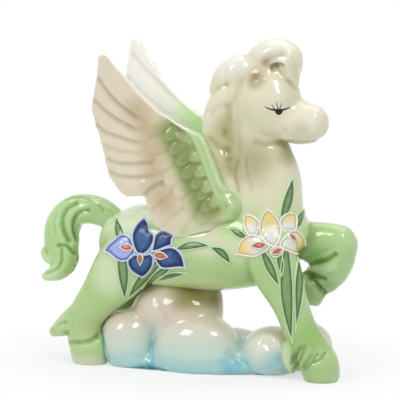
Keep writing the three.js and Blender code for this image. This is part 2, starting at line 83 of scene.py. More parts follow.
class Sight:
    """The view in which the figurine is photographed: from its right and a little ahead of it."""

    TURN = math.radians(22)
    RISE = math.radians(11)
    CENTRE = (196.2, 365.4)  # the mark that the origin falls on
    MARKS_PER_MM = 2.0

    ACROSS = np.array([math.cos(TURN), math.sin(TURN), 0.0])
    TOWARDS = np.array([math.sin(TURN) * math.cos(RISE), -math.cos(TURN) * math.cos(RISE), math.sin(RISE)])
    UP = np.array([-math.sin(TURN) * math.sin(RISE), math.cos(TURN) * math.sin(RISE), math.cos(RISE)])

    @classmethod
    def plane(cls, marks: np.ndarray) -> np.ndarray:
        """Places in metres, on the plane through the origin that faces the viewer.

        Args:
            marks: rows of (across, down) marks on the picture.

        Returns:
            Rows of (x, y, z).
        """
        marks = np.atleast_2d(np.asarray(marks, float))
        across = (marks[:, :1] - cls.CENTRE[0]) / cls.MARKS_PER_MM * MM
        up = (cls.CENTRE[1] - marks[:, 1:2]) / cls.MARKS_PER_MM * MM
        return across * cls.ACROSS + up * cls.UP

    @classmethod
    def marks(cls, places: np.ndarray) -> np.ndarray:
        """The marks on the picture under which places in metres are seen.

        Args:
            places: rows of (x, y, z) in metres.

        Returns:
            Rows of (across, down).
        """
        across = places @ cls.ACROSS / MM * cls.MARKS_PER_MM + cls.CENTRE[0]
        down = cls.CENTRE[1] - places @ cls.UP / MM * cls.MARKS_PER_MM
        return np.stack([across, down], axis=1)

    @classmethod
    def on(cls, surface: BVHTree, marks: np.ndarray) -> np.ndarray:
        """The nearest places of a surface to the viewer under some marks.

        Args:
            surface: the surface that is looked at.
            marks: rows of (across, down) marks.

        Returns:
            Rows of (x, y, z); a mark that misses keeps the depth of the one before it.
        """
        seen = []
        depth = 0.0
        for start in cls.plane(marks):
            origin = Vector(start + cls.TOWARDS)
            hit, _, _, reach = surface.ray_cast(origin, Vector(-cls.TOWARDS))
            if hit is not None:
                depth = 1.0 - reach
            seen.append(start + cls.TOWARDS * depth)
        return np.array(seen)


# Modelling


def spline(points: np.ndarray, count: int) -> np.ndarray:
    """Evenly stepped values along a Catmull-Rom line through points.

    Args:
        points: rows to pass through.
        count: how many rows to return.

    Returns:
        The rows, the first and last of them on the first and last points.
    """
    points = np.asarray(points, float)
    padded = np.vstack([2 * points[0] - points[1], points, 2 * points[-1] - points[-2]])
    rows = []
    for t in np.linspace(0, len(points) - 1, count):
        i = min(int(t), len(points) - 2)
        f = t - i
        a, b, c, d = padded[i : i + 4]
        rows.append(
            0.5 * (2 * b + (c - a) * f + (2 * a - 5 * b + 4 * c - d) * f**2 + (3 * b - a - 3 * c + d) * f**3)
        )
    return np.array(rows)


def smoothstep(values: np.ndarray) -> np.ndarray:
    """0 below 0, 1 above 1, and a soft change between."""
    t = np.clip(values, 0, 1)
    return t * t * (3 - 2 * t)


def closed_line(marks: tuple[Mark, ...]) -> np.ndarray:
    """A smooth closed line through marks.

    Args:
        marks: the marks, in order.

    Returns:
        Its points.
    """
    ring = np.array(marks, float)
    padded = np.vstack([ring[-2:], ring, ring[:3]])
    line = spline(padded, (len(padded) - 1) * CLOSED_STEPS + 1)
    return line[2 * CLOSED_STEPS : (2 + len(ring)) * CLOSED_STEPS]


def stretches(points: np.ndarray, line: np.ndarray) -> Iterator[tuple[int, np.ndarray, np.ndarray]]:
    """Goes along a line, one stretch after another.

    Args:
        points: rows to measure from.
        line: rows to pass, whose further columns are left out.

    Yields:
        The stretch's number, how far along it each point lies, and each point's way from it.
    """
    route = line[:, : points.shape[1]]
    for i, (a, b) in enumerate(zip(route[:-1], route[1:])):
        step = b - a
        share = np.clip((points - a) @ step / max(step @ step, 1e-12), 0, 1)
        yield i, share, points - a - share[:, None] * step


def brush(marks: np.ndarray, line: np.ndarray) -> Iterator[tuple[np.ndarray, np.ndarray]]:
    """Goes along a line of (across, down, half-width), and yields each mark's distance and the half-width."""
    for i, share, off in stretches(marks, line):
        yield np.linalg.norm(off, axis=1), line[i, 2] + (line[i + 1, 2] - line[i, 2]) * share


def beside(points: np.ndarray, line: np.ndarray) -> np.ndarray:
    """How far points lie from a line of points.

    Args:
        points: rows to measure from.
        line: the points of the line, in order.

    Returns:
        Each point's distance.
    """
    nearest = np.full(len(points), FAR)
    for _, _, off in stretches(points, line):
        nearest = np.minimum(nearest, np.linalg.norm(off, axis=1))
    return nearest


def inside(points: np.ndarray, ring: np.ndarray) -> np.ndarray:
    """How far points lie inside a closed outline, negative outside it.

    Args:
        points: rows to measure from.
        ring: the points of the outline, in order.

    Returns:
        Each point's distance from the outline.
    """
    within = np.zeros(len(points), bool)
    for a, b in zip(ring, np.roll(ring, -1, axis=0)):
        crosses = (a[1] > points[:, 1]) != (b[1] > points[:, 1])
        with np.errstate(divide="ignore", invalid="ignore"):
            where = a[0] + (points[:, 1] - a[1]) * (b[0] - a[0]) / (b[1] - a[1])
        within ^= crosses & (points[:, 0] < where)
    apart = beside(points, np.vstack([ring, ring[:1]]))
    return np.where(within, apart, -apart)


def band(points: np.ndarray, line: np.ndarray, core: float, reach: float) -> np.ndarray:
    """1 within the core of a line, falling to 0 at its reach."""
    return 1 - smoothstep((beside(points, line) - core) / (reach - core))


class Bench:
    """The steps that every piece goes through on the modeller's bench."""

    SIDEWAYS = np.array([0.0, 1.0, 0.0])  # the direction that the widths of sections are measured in
    DOME = (25, 50, 72)  # where the rings of a rounded end lie, in degrees
    RINGS = 4  # rings from one section to the next
    FINEST = 0.02  # the least half-size of a ring, in millimetres

    @staticmethod
    def clear() -> None:
        """Leaves edit mode, with nothing selected."""
        if bpy.context.object and bpy.context.object.mode != "OBJECT":
            bpy.ops.object.mode_set(mode="OBJECT")
        bpy.ops.object.select_all(action="DESELECT")

    @staticmethod
    def hold(*objects: bpy.types.Object) -> None:
        """Selects objects only, the first of them active.

        Args:
            objects: what to select.
        """
        Bench.clear()
        for obj in objects:
            obj.select_set(True)
        bpy.context.view_layer.objects.active = objects[0]

    @staticmethod
    @contextmanager
    def editing(obj: bpy.types.Object) -> Iterator[None]:
        """Holds one object in edit mode, with its whole mesh selected at first.

        Args:
            obj: the object.

        Yields:
            Nothing, once it is in edit mode.
        """
        Bench.hold(obj)
        bpy.ops.object.mode_set(mode="EDIT")
        bpy.ops.mesh.select_all(action="SELECT")
        yield
        bpy.ops.object.mode_set(mode="OBJECT")

    @staticmethod
    def face_outwards() -> None:
        """Turns all faces of the mesh in edit mode outwards."""
        bpy.ops.mesh.select_all(action="SELECT")
        bpy.ops.mesh.normals_make_consistent(inside=False)

    @staticmethod
    def add_ring(matrix: Matrix, sides: int) -> None:
        """Adds a circle to the mesh in edit mode and places it by a matrix.

        Args:
            matrix: the ring's place, turn and size.
            sides: how many vertices it has.
        """
        bpy.ops.mesh.primitive_circle_add(vertices=sides, radius=1, fill_type="NOTHING")
        mesh = bpy.context.object.data
        bm = bmesh.from_edit_mesh(mesh)
        bmesh.ops.transform(bm, matrix=matrix, verts=[v for v in bm.verts if v.select])
        bmesh.update_edit_mesh(mesh)

    @staticmethod
    def select_rings(first: int, count: int, sides: int) -> None:
        """Selects rings of a loft by their place along it.

        Args:
            first: the first ring.
            count: how many.
            sides: the vertices of a ring.
        """
        bpy.ops.mesh.select_all(action="DESELECT")
        bm = bmesh.from_edit_mesh(bpy.context.object.data)
        bm.verts.ensure_lookup_table()
        for vert in bm.verts[first * sides : (first + count) * sides]:
            vert.select = True
        bm.select_flush(True)

    @staticmethod
    def loft(
        name: str, sections: Sections, sides: int = 24, domes: tuple[float, float] = (1, 1)
    ) -> bpy.types.Object:
        """Skins oval sections strung along a smooth line.

        Args:
            name: the new object's name.
            sections: (x, y, z, half-width, half-depth) in millimetres.
            sides: faces round it.
            domes: how far each end is rounded, as a share of its smaller half-size.

        Returns:
            The closed shell.
        """
        rows = spline(np.asarray(sections, float) * MM, (len(sections) - 1) * Bench.RINGS + 1)
        centres, sizes = rows[:, :3], np.maximum(rows[:, 3:5], Bench.FINEST * MM)
        ahead = np.gradient(centres, axis=0)
        ahead /= np.linalg.norm(ahead, axis=1)[:, None]
        rings = [(*row, 1.0) for row in zip(centres, ahead, sizes)]
        for end, way, share in ((0, -1, domes[0]), (-1, 1, domes[1])):
            height = way * share * sizes[end].min()
            cap = [
                (centres[end] + height * math.sin(a) * ahead[end], ahead[end], sizes[end], math.cos(a))
                for a in map(math.radians, Bench.DOME)
            ]
            rings = rings + cap if way > 0 else cap[::-1] + rings

        Bench.clear()
        bpy.ops.mesh.primitive_circle_add(vertices=sides, radius=1, fill_type="NOTHING")
        obj = bpy.context.object
        obj.name = name
        with Bench.editing(obj):
            bpy.ops.mesh.delete(type="VERT")
            for centre, along, (wide, deep), share in rings:
                side = Bench.SIDEWAYS - along * (Bench.SIDEWAYS @ along)
                side /= np.linalg.norm(side)
                rise = np.cross(along, side)
                axes = np.column_stack([side * wide * share, rise * deep * share, along * MM, centre])
                Bench.add_ring(Matrix(axes.tolist() + [[0, 0, 0, 1]]), sides)
            for i in range(len(rings) - 1):
                Bench.select_rings(i, 2, sides)
                bpy.ops.mesh.bridge_edge_loops()
            for i in (0, len(rings) - 1):
                Bench.select_rings(i, 1, sides)
                bpy.ops.mesh.edge_face_add()
            Bench.face_outwards()
        return obj

    @staticmethod
    def blob(name: str, centre: Place, radii: Place) -> bpy.types.Object:
        """An egg of clay.

        Args:
            name: the new object's name.
            centre: its middle, in millimetres.
            radii: its half-sizes along x, y and z.

        Returns:
            The closed shell.
        """
        Bench.clear()
        bpy.ops.mesh.primitive_uv_sphere_add(segments=32, ring_count=20, radius=MM)
        obj = bpy.context.object
        obj.name = name
        obj.scale = radii
        obj.location = Vector(centre) * MM
        bpy.ops.object.transform_apply(location=True, rotation=True, scale=True)
        return obj

    @staticmethod
    def sheet(
        name: str, low: np.ndarray, high: np.ndarray, step: float
    ) -> tuple[bpy.types.Object, np.ndarray]:
        """A fine grid over a part of the picture.

        Args:
            name: the new object's name.
            low: its lower corner, in marks.
            high: its upper corner.
            step: the size of its faces, in marks.

        Returns:
            The object, and the mark of each of its vertices.
        """
        columns, rows = np.ceil((high - low) / step).astype(int).tolist()
        Bench.clear()
        bpy.ops.mesh.primitive_grid_add(x_subdivisions=columns, y_subdivisions=rows, size=2)
        obj = bpy.context.object
        obj.name = obj.data.name = name
        flat = np.empty(len(obj.data.vertices) * 3)
        obj.data.vertices.foreach_get("co", flat)
        return obj, low + (flat.reshape(-1, 3)[:, :2] + 1) / 2 * (high - low)

    @staticmethod
    def trim(obj: bpy.types.Object, kept: np.ndarray) -> None:
        """Cuts away a sheet's other vertices, and turns its face to the viewer.

        Args:
            obj: the sheet.
            kept: which of its vertices stay.
        """
        with Bench.editing(obj):
            bpy.ops.mesh.select_all(action="DESELECT")
            for vert in bmesh.from_edit_mesh(obj.data).verts:
                vert.select = not kept[vert.index]
            bpy.ops.mesh.delete(type="VERT")
            Bench.face_outwards()
        if sum(face.normal @ Vector(Sight.TOWARDS) * face.area for face in obj.data.polygons) < 0:
            obj.data.flip_normals()
        bpy.ops.object.shade_smooth()

    @staticmethod
    def mirrored(obj: bpy.types.Object, name: str) -> bpy.types.Object:
        """A copy of a shell on the other side of the figurine.

        Args:
            obj: the shell.
            name: the copy's name.

        Returns:
            The copy.
        """
        Bench.hold(obj)
        bpy.ops.object.duplicate()
        copy = bpy.context.object
        copy.name = copy.data.name = name
        copy.scale = (1, -1, 1)
        bpy.ops.object.transform_apply(location=True, rotation=True, scale=True)
        with Bench.editing(copy):
            Bench.face_outwards()
        return copy

    @staticmethod
    def apply(obj: bpy.types.Object, kind: str, **settings: object) -> None:
        """Adds a modifier, sets it and applies it.

        Args:
            obj: the object.
            kind: the modifier's type.
            settings: its settings.
        """
        Bench.hold(obj)
        modifier = obj.modifiers.new(kind.title(), kind)
        for key, value in settings.items():
            setattr(modifier, key, value)
        bpy.ops.object.modifier_apply(modifier=modifier.name)

    @staticmethod
    def luted(name: str, shells: list[bpy.types.Object], grain: float) -> bpy.types.Object:
        """Runs overlapping shells together into one skin.

        Args:
            name: the skin's name.
            shells: the closed shells.
            grain: the size of its faces, in millimetres.

        Returns:
            The skin.
        """
        Bench.hold(*shells)
        if len(shells) > 1:
            bpy.ops.object.join()
        skin = bpy.context.object
        skin.name = skin.data.name = name
        Bench.apply(skin, "REMESH", mode="VOXEL", voxel_size=grain * MM, use_smooth_shade=True)
        return skin

    @staticmethod
    def cut_flat(obj: bpy.types.Object) -> None:
        """Grinds the underside flat where it stands on the table."""
        with Bench.editing(obj):
            bpy.ops.mesh.bisect(plane_co=(0, 0, 0), plane_no=(0, 0, 1), use_fill=True, clear_inner=True)

    @staticmethod
    def surface(obj: bpy.types.Object) -> BVHTree:
        """The surface of a mesh, for laying things on it."""
        mesh = obj.data
        return BVHTree.FromPolygons([v.co for v in mesh.vertices], [p.vertices for p in mesh.polygons])


class Skin:
    """The vertices of one mesh, for the work of fingers and wooden tools on its clay."""

    PRESS, SWELL = 0.5, 0.52  # how far one round of the sponge moves a vertex in, and back out
    NEARBY = 0.012  # how far from a line its vertices are looked for, in metres
    NARROW, WIDE, CREST = 8, 60, 30  # rounds that even out a narrow crease, a wide hollow and a crest
    FILLS = (0.6, 0.7)  # how full of glaze a narrow crease and a wide hollow get

    def __init__(self, obj: bpy.types.Object) -> None:
        """Reads the vertices and edges of an object's mesh.

        Args:
            obj: the object.
        """
        self.obj = obj
        mesh = obj.data
        self.count = len(mesh.vertices)
        self.co = np.empty(self.count * 3)
        mesh.vertices.foreach_get("co", self.co)
        self.co = self.co.reshape(-1, 3)
        ends = np.empty(len(mesh.edges) * 2, int)
        mesh.edges.foreach_get("vertices", ends)
        self.edges = ends.reshape(-1, 2)
        self.valence = np.maximum(np.bincount(ends, minlength=self.count), 1)[:, None]

    def write(self) -> None:
        """Puts the vertices back into the mesh."""
        self.obj.data.vertices.foreach_set("co", self.co.ravel())
        self.obj.data.update()

    @property
    def normals(self) -> np.ndarray:
        """The vertex normals of the mesh as last written.

        Returns:
            Rows of (x, y, z).
        """
        out = np.empty(self.count * 3)
        self.obj.data.vertex_normals.foreach_get("vector", out)
        return out.reshape(-1, 3)

    def around(self, values: np.ndarray) -> np.ndarray:
        """The mean of each vertex's neighbours' values.

        Args:
            values: one value or row for each vertex.

        Returns:
            The means, as rows.
        """
        a, b = self.edges.T
        columns = values.reshape(self.count, -1).T
        sums = [np.bincount(a, row[b], self.count) + np.bincount(b, row[a], self.count) for row in columns]
        return np.stack(sums, axis=1) / self.valence

    def soften(self, rounds: int, where: np.ndarray | float = 1.0, shrink: bool = False) -> None:
        """Smooths the clay with a damp sponge.

        Args:
            rounds: how many times over.
            where: how strongly at each vertex.
            shrink: whether thin parts may get thinner.
        """
        for _ in range(rounds):
            self.co += self.PRESS * where * (self.around(self.co) - self.co)
            if not shrink:
                self.co -= self.SWELL * where * (self.around(self.co) - self.co)
        self.write()

    def hollows(self, rounds: int) -> np.ndarray:
        """How far each vertex lies under the softened surface, in metres, and above it where negative.

        Args:
            rounds: how many times the surface is softened.

        Returns:
            The depth at each vertex.
        """
        soft = self.co.copy()
        for _ in range(rounds):
            soft += self.PRESS * (self.around(soft) - soft)
        return np.einsum("ij,ij->i", soft - self.co, self.normals)

    def reach(self, line: np.ndarray) -> np.ndarray:
        """Each vertex's distance from a line of points, in metres, where it is nearby.

        Args:
            line: the points of the line, in order.

        Returns:
            The distances, very large where it is far away.
        """
        near = np.full(self.count, FAR)
        low, high = line.min(axis=0) - self.NEARBY, line.max(axis=0) + self.NEARBY
        picked = np.flatnonzero(np.all((self.co > low) & (self.co < high), axis=1))
        near[picked] = beside(self.co[picked], line)
        return near

    def within(self, centre: Place, reach: float) -> np.ndarray:
        """1 in the middle of a ball in millimetres, falling to 0 at its skin, as a column."""
        apart = np.linalg.norm(self.co - np.array(centre) * MM, axis=1) / (reach * MM)
        return smoothstep((1 - apart) / 0.5)[:, None]

    def store(self, name: str, values: np.ndarray) -> None:
        """Keeps one number for each vertex as an attribute."""
        layer = self.obj.data.attributes.get(name) or self.obj.data.attributes.new(name, "FLOAT", "POINT")
        layer.data.foreach_set("value", np.ascontiguousarray(values, np.float32))

    def pool_glaze(self, fine: float = 0.16, broad: float = 0.75, lift: float = 0.5) -> np.ndarray:
        """Stores where glaze runs together in hollows and thins on crests, from 0 to 1.

        Args:
            fine: the depth of a narrow crease that fills it, in millimetres.
            broad: the same for a wide hollow.
            lift: the height of a crest that bares it.

        Returns:
            How full of glaze each vertex is.
        """
        narrow, wide = self.hollows(self.NARROW) / (fine * MM), self.hollows(self.WIDE) / (broad * MM)
        fills = zip(self.FILLS, (narrow, wide))
        pool = np.clip(sum(share * np.clip(depth, 0, 1) for share, depth in fills), 0, 1)
        crest = np.clip(-self.hollows(self.CREST) / (lift * MM) - 0.1, 0, 1)
        for _ in range(3):
            pool, crest = self.around(pool)[:, 0], self.around(crest)[:, 0]
        self.store("pool", pool)
        self.store("crest", crest)
        return pool


@dataclass(frozen=True)
class Stroke:
    """One pull of a round modelling tool over the clay.

    Attributes:
        marks: the places it passes, as marks on the picture.
        wide: half its width, in millimetres.
        deep: how deep it presses, or raises where negative.
    """

    marks: tuple[Mark, ...]
    wide: float
    deep: float


def tool(skin: Skin, strokes: tuple[Stroke, ...], both_sides: bool = False) -> None:
    """Works strokes into a skin, along its own normals.

    Args:
        skin: the clay.
        strokes: the strokes, each laid on the skin as it is seen.
        both_sides: whether the far side gets each of them too.
    """
    surface = Bench.surface(skin.obj)
    push = np.zeros(skin.count)
    for stroke in strokes:
        touched = len(stroke.marks)
        marks = spline(np.array(stroke.marks), 6 * touched) if touched > 1 else stroke.marks
        line = Sight.on(surface, marks)
        if touched == 1:
            line = np.vstack([line, line + 1e-6])
        for laid in [line, line * (1, -1, 1)] if both_sides else [line]:
            push -= smoothstep(1 - skin.reach(laid) / (stroke.wide * MM)) * stroke.deep * MM
    skin.co += skin.normals * push[:, None]
    skin.write()


# Finishes


def paint(code: str) -> tuple[float, float, float, float]:
    """A colour as shaders take it, from its usual six-digit code."""
    parts = [int(code[i : i + 2], 16) / 255 for i in (1, 3, 5)]
    return (*[c / 12.92 if c <= 0.04045 else ((c + 0.055) / 1.055) ** 2.4 for c in parts], 1.0)


class Value:
    """A number that varies over a surface. Python's operators on it add Math nodes."""

    def __init__(self, shader: "Shader", socket: bpy.types.NodeSocket) -> None:
        """Wraps the socket that the number comes from."""
        self.shader = shader
        self.socket = socket

    def math(self, operation: str, *others: "Value | float") -> "Value":
        """Another number worked out from this one and others."""
        return self.shader.math(operation, self, *others)

    def __add__(self, other: "Value | float") -> "Value":
        """Sum."""
        return self.math("ADD", other)

    __radd__ = __add__

    def __mul__(self, other: "Value | float") -> "Value":
        """Product."""
        return self.math("MULTIPLY", other)

    __rmul__ = __mul__

    def __sub__(self, other: "Value | float") -> "Value":
        """Difference."""
        return self.math("SUBTRACT", other)

    def __rsub__(self, other: float) -> "Value":
        """Difference, the other way round."""
        return self.shader.math("SUBTRACT", other, self)

    def clamped(self) -> "Value":
        """The number kept between 0 and 1."""
        return self.math("MINIMUM", 1.0).math("MAXIMUM", 0.0)

    def smooth(self, low: float, high: float) -> "Value":
        """0 below one value and 1 above another, with a soft change between."""
        inputs = {"Value": self, "From Min": low, "From Max": high}
        return self.shader.value("ShaderNodeMapRange", {"interpolation_type": "SMOOTHSTEP"}, inputs)


class Shader:
    """One material, or the light of the room, built node by node."""

    def __init__(self, owner: bpy.types.Material | bpy.types.World) -> None:
        """Takes all nodes out of a new material or room.

        Args:
            owner: the material or room.
        """
        self.owner = owner
        owner.use_nodes = True
        self.tree = owner.node_tree
        self.tree.nodes.clear()
        self.place = self.node("ShaderNodeTexCoord").outputs["Object"]

    def node(
        self, kind: str, settings: dict[str, object] | None = None, inputs: dict[object, object] | None = None
    ) -> bpy.types.Node:
        """Adds a node.

        Args:
            kind: its type.
            settings: its own settings, which are set first.
            inputs: the values or links of its sockets.

        Returns:
            The node.
        """
        node = self.tree.nodes.new(kind)
        for key, value in (settings or {}).items():
            setattr(node, key, value)
        for key, value in (inputs or {}).items():
            socket = node.inputs[key]
            if isinstance(value, Value):
                value = value.socket
            if isinstance(value, bpy.types.NodeSocket):
                self.tree.links.new(value, socket)
            else:
                socket.default_value = value
        return node

    def value(
        self, kind: str, settings: dict[str, object] | None = None, inputs: dict[object, object] | None = None
    ) -> Value:
        """Adds a node and returns its first output as a number."""
        return Value(self, self.node(kind, settings, inputs).outputs[0])

    def math(self, operation: str, *values: "Value | float") -> Value:
        """Adds a Math node."""
        return self.value("ShaderNodeMath", {"operation": operation}, dict(enumerate(values)))

    def mix(
        self, share: Value | float, first: object, second: object, blend: str = "MIX"
    ) -> bpy.types.NodeSocket:
        """A colour between two others.

        Args:
            share: how much of the second there is.
            first: a colour or the socket it comes from.
            second: the same.
            blend: how the second is laid over the first.

        Returns:
            The socket of the colour.
        """
        settings = {"data_type": "RGBA", "blend_type": blend}
        return self.node("ShaderNodeMix", settings, {0: share, 6: first, 7: second}).outputs[2]

    def vector(self, operation: str, *values: object) -> bpy.types.Node:
        """Adds a Vector Math node."""
        return self.node("ShaderNodeVectorMath", {"operation": operation}, dict(enumerate(values)))

    def attribute(self, name: str) -> Value:
        """A number that the mesh carries."""
        node = self.node("ShaderNodeAttribute", {"attribute_name": name})
        return Value(self, node.outputs["Fac"])

    def noise(self, scale: float, detail: float = 2.0) -> Value:
        """Smooth noise around one half, `scale` waves to the metre."""
        inputs = {"Vector": self.place, "Scale": scale, "Detail": detail, "Roughness": 0.5}
        return self.value("ShaderNodeTexNoise", None, inputs)

    def ball(self, centre: Place, radii: Place, core: float) -> Value:
        """A soft patch: 1 in the core of an egg in millimetres, and 0 outside it.

        Args:
            centre: its middle.
            radii: its half-sizes.
            core: the share of them that is in the core.

        Returns:
            The patch.
        """
        middle = tuple(c * MM for c in centre)
        apart = self.vector("SUBTRACT", self.place, middle).outputs[0]
        scaled = self.vector("DIVIDE", apart, tuple(r * MM for r in radii)).outputs[0]
        reach = Value(self, self.vector("LENGTH", scaled).outputs["Value"])
        return 1 - reach.smooth(core, 1.0)

    def seen(self) -> Value:
        """1 for what the camera sees, also mirrored or through glass, and 0 for light on the object.

        Returns:
            The number.
        """
        path = self.node("ShaderNodeLightPath").outputs
        seen = Value(self, path["Is Camera Ray"])
        for ray in ("Is Glossy Ray", "Is Transmission Ray"):
            seen = seen.math("MAXIMUM", Value(self, path[ray]))
        return seen

    def end(self, surface: bpy.types.Node, kind: str = "Material") -> None:
        """Ends the nodes in a surface, or in a room where the kind is World."""
        self.node(f"ShaderNodeOutput{kind}", None, {"Surface": surface.outputs[0]})

    def blended(self, share: Value, first: bpy.types.Node, second: bpy.types.Node) -> bpy.types.Node:
        """A share of a second surface over the first."""
        return self.node("ShaderNodeMixShader", None, {0: share, 1: first.outputs[0], 2: second.outputs[0]})

    def glazed(
        self, base: object, roughness: Value, ripple: Value, relief: tuple[float, float], **constants: float
    ) -> bpy.types.Material:
        """Ends the material in a glazed surface.

        Args:
            base: the socket of its colour.
            roughness: the roughness of the body under the glaze.
            ripple: the height of the glaze's ripples.
            relief: how strongly they show, and how high they are in metres.
            constants: values of the shader's other sockets, with _ for a space.

        Returns:
            The material.
        """
        bump = {"Strength": relief[0], "Distance": relief[1], "Height": ripple}
        normal = self.node("ShaderNodeBump", None, bump).outputs[0]
        inputs = {"Base Color": base, "Roughness": roughness, "Normal": normal, "IOR": 1.45}
        inputs |= {key.replace("_", " "): value for key, value in constants.items()}
        self.end(self.node("ShaderNodeBsdfPrincipled", None, inputs))
        return self.owner


@dataclass(frozen=True)
class Spray:
    """A soft patch of colour blown on under the glaze; some of the body's patches are painted shade, and one
    is a painted reflection.

    Attributes:
        centre: its middle, in millimetres.
        radii: how far it reaches along x, y and z.
        colour: its colour.
        strength: how much of it covers what is under it.
        core: the share of its reach that has it in full.
        both: whether the other side has the same.
    """

    centre: Place
    radii: Place
    colour: str
    strength: float
    core: float
    both: bool = False


@dataclass(frozen=True)
class Glaze:
    """A clear gloss glaze over sprayed colour, which deepens where it pools.

    Attributes:
        name: the material's name.
        base: the colour under all sprays.
        sprays: the patches over it, in order.
        pooled: the colour that it deepens by in hollows.
        depth: how much it deepens.
        bared: the colour that shows on crests.
        bareness: how much it shows.
        washes: attributes of the mesh, each with the colour brushed on where it is 1.
    """

    name: str
    base: str
    sprays: tuple[Spray, ...]
    pooled: str = "#B4BE78"
    depth: float = 0.8
    bared: str = "#F4F4EA"
    bareness: float = 0.35
    washes: tuple[tuple[str, str], ...] = ()

    MOTTLE, SPECKS, GRAIN = 55, 900, 140  # waves to the metre in the colour and in the body's grain
    ROLL, RIPPLE = 70, 260  # the same for the glaze's own surface
    RELIEF = (0.35, 0.0014)  # how strongly the glaze's surface shows, and how high it is in metres
    ROUGH, CLEAR = 0.30, 0.035  # how rough the body and the glaze over it are
    PALE, SPECKLED = 0.22, 0.10  # how strong the mottling and the specks are
    IRON = "#8E8A60"  # the colour of the specks

    def sprayed(self, shader: Shader) -> object:
        """The colour under the glaze, once all sprays and washes are on.

        Args:
            shader: the material to build in.

        Returns:
            The colour or its socket.
        """
        colour: object = paint(self.base)
        for spray in self.sprays:
            x, y, z = spray.centre
            for side in (1, -1) if spray.both else (1,):
                share = shader.ball((x, side * y, z), spray.radii, spray.core) * spray.strength
                colour = shader.mix(share, colour, paint(spray.colour))
        for name, code in self.washes:
            colour = shader.mix(shader.attribute(name), colour, paint(code))
        return colour

    def material(self) -> bpy.types.Material:
        """Builds the material.

        Returns:
            The material.
        """
        shader = Shader(bpy.data.materials.new(self.name))
        colour = self.sprayed(shader)
        colour = shader.mix((shader.noise(self.MOTTLE, 3) - 0.35) * self.PALE, colour, paint(self.bared))
        pool = (shader.attribute("pool") * self.depth).clamped()
        colour = shader.mix(pool, colour, paint(self.pooled), "MULTIPLY")
        colour = shader.mix(shader.attribute("crest") * self.bareness, colour, paint(self.bared))
        specks = shader.noise(self.SPECKS, 2).smooth(0.66, 0.74) * self.SPECKLED
        colour = shader.mix(specks, colour, paint(self.IRON), "MULTIPLY")
        ripple = shader.noise(self.ROLL, 1) + shader.noise(self.RIPPLE, 1) * 0.12
        rough = shader.noise(self.GRAIN, 2) * 0.12 + self.ROUGH
        clear = {"Coat_Weight": 1.0, "Coat_Roughness": self.CLEAR}
        clear |= {"Coat_IOR": 1.55, "Specular_IOR_Level": 0.15}
        return shader.glazed(colour, rough, ripple, self.RELIEF, **clear)


# Castings


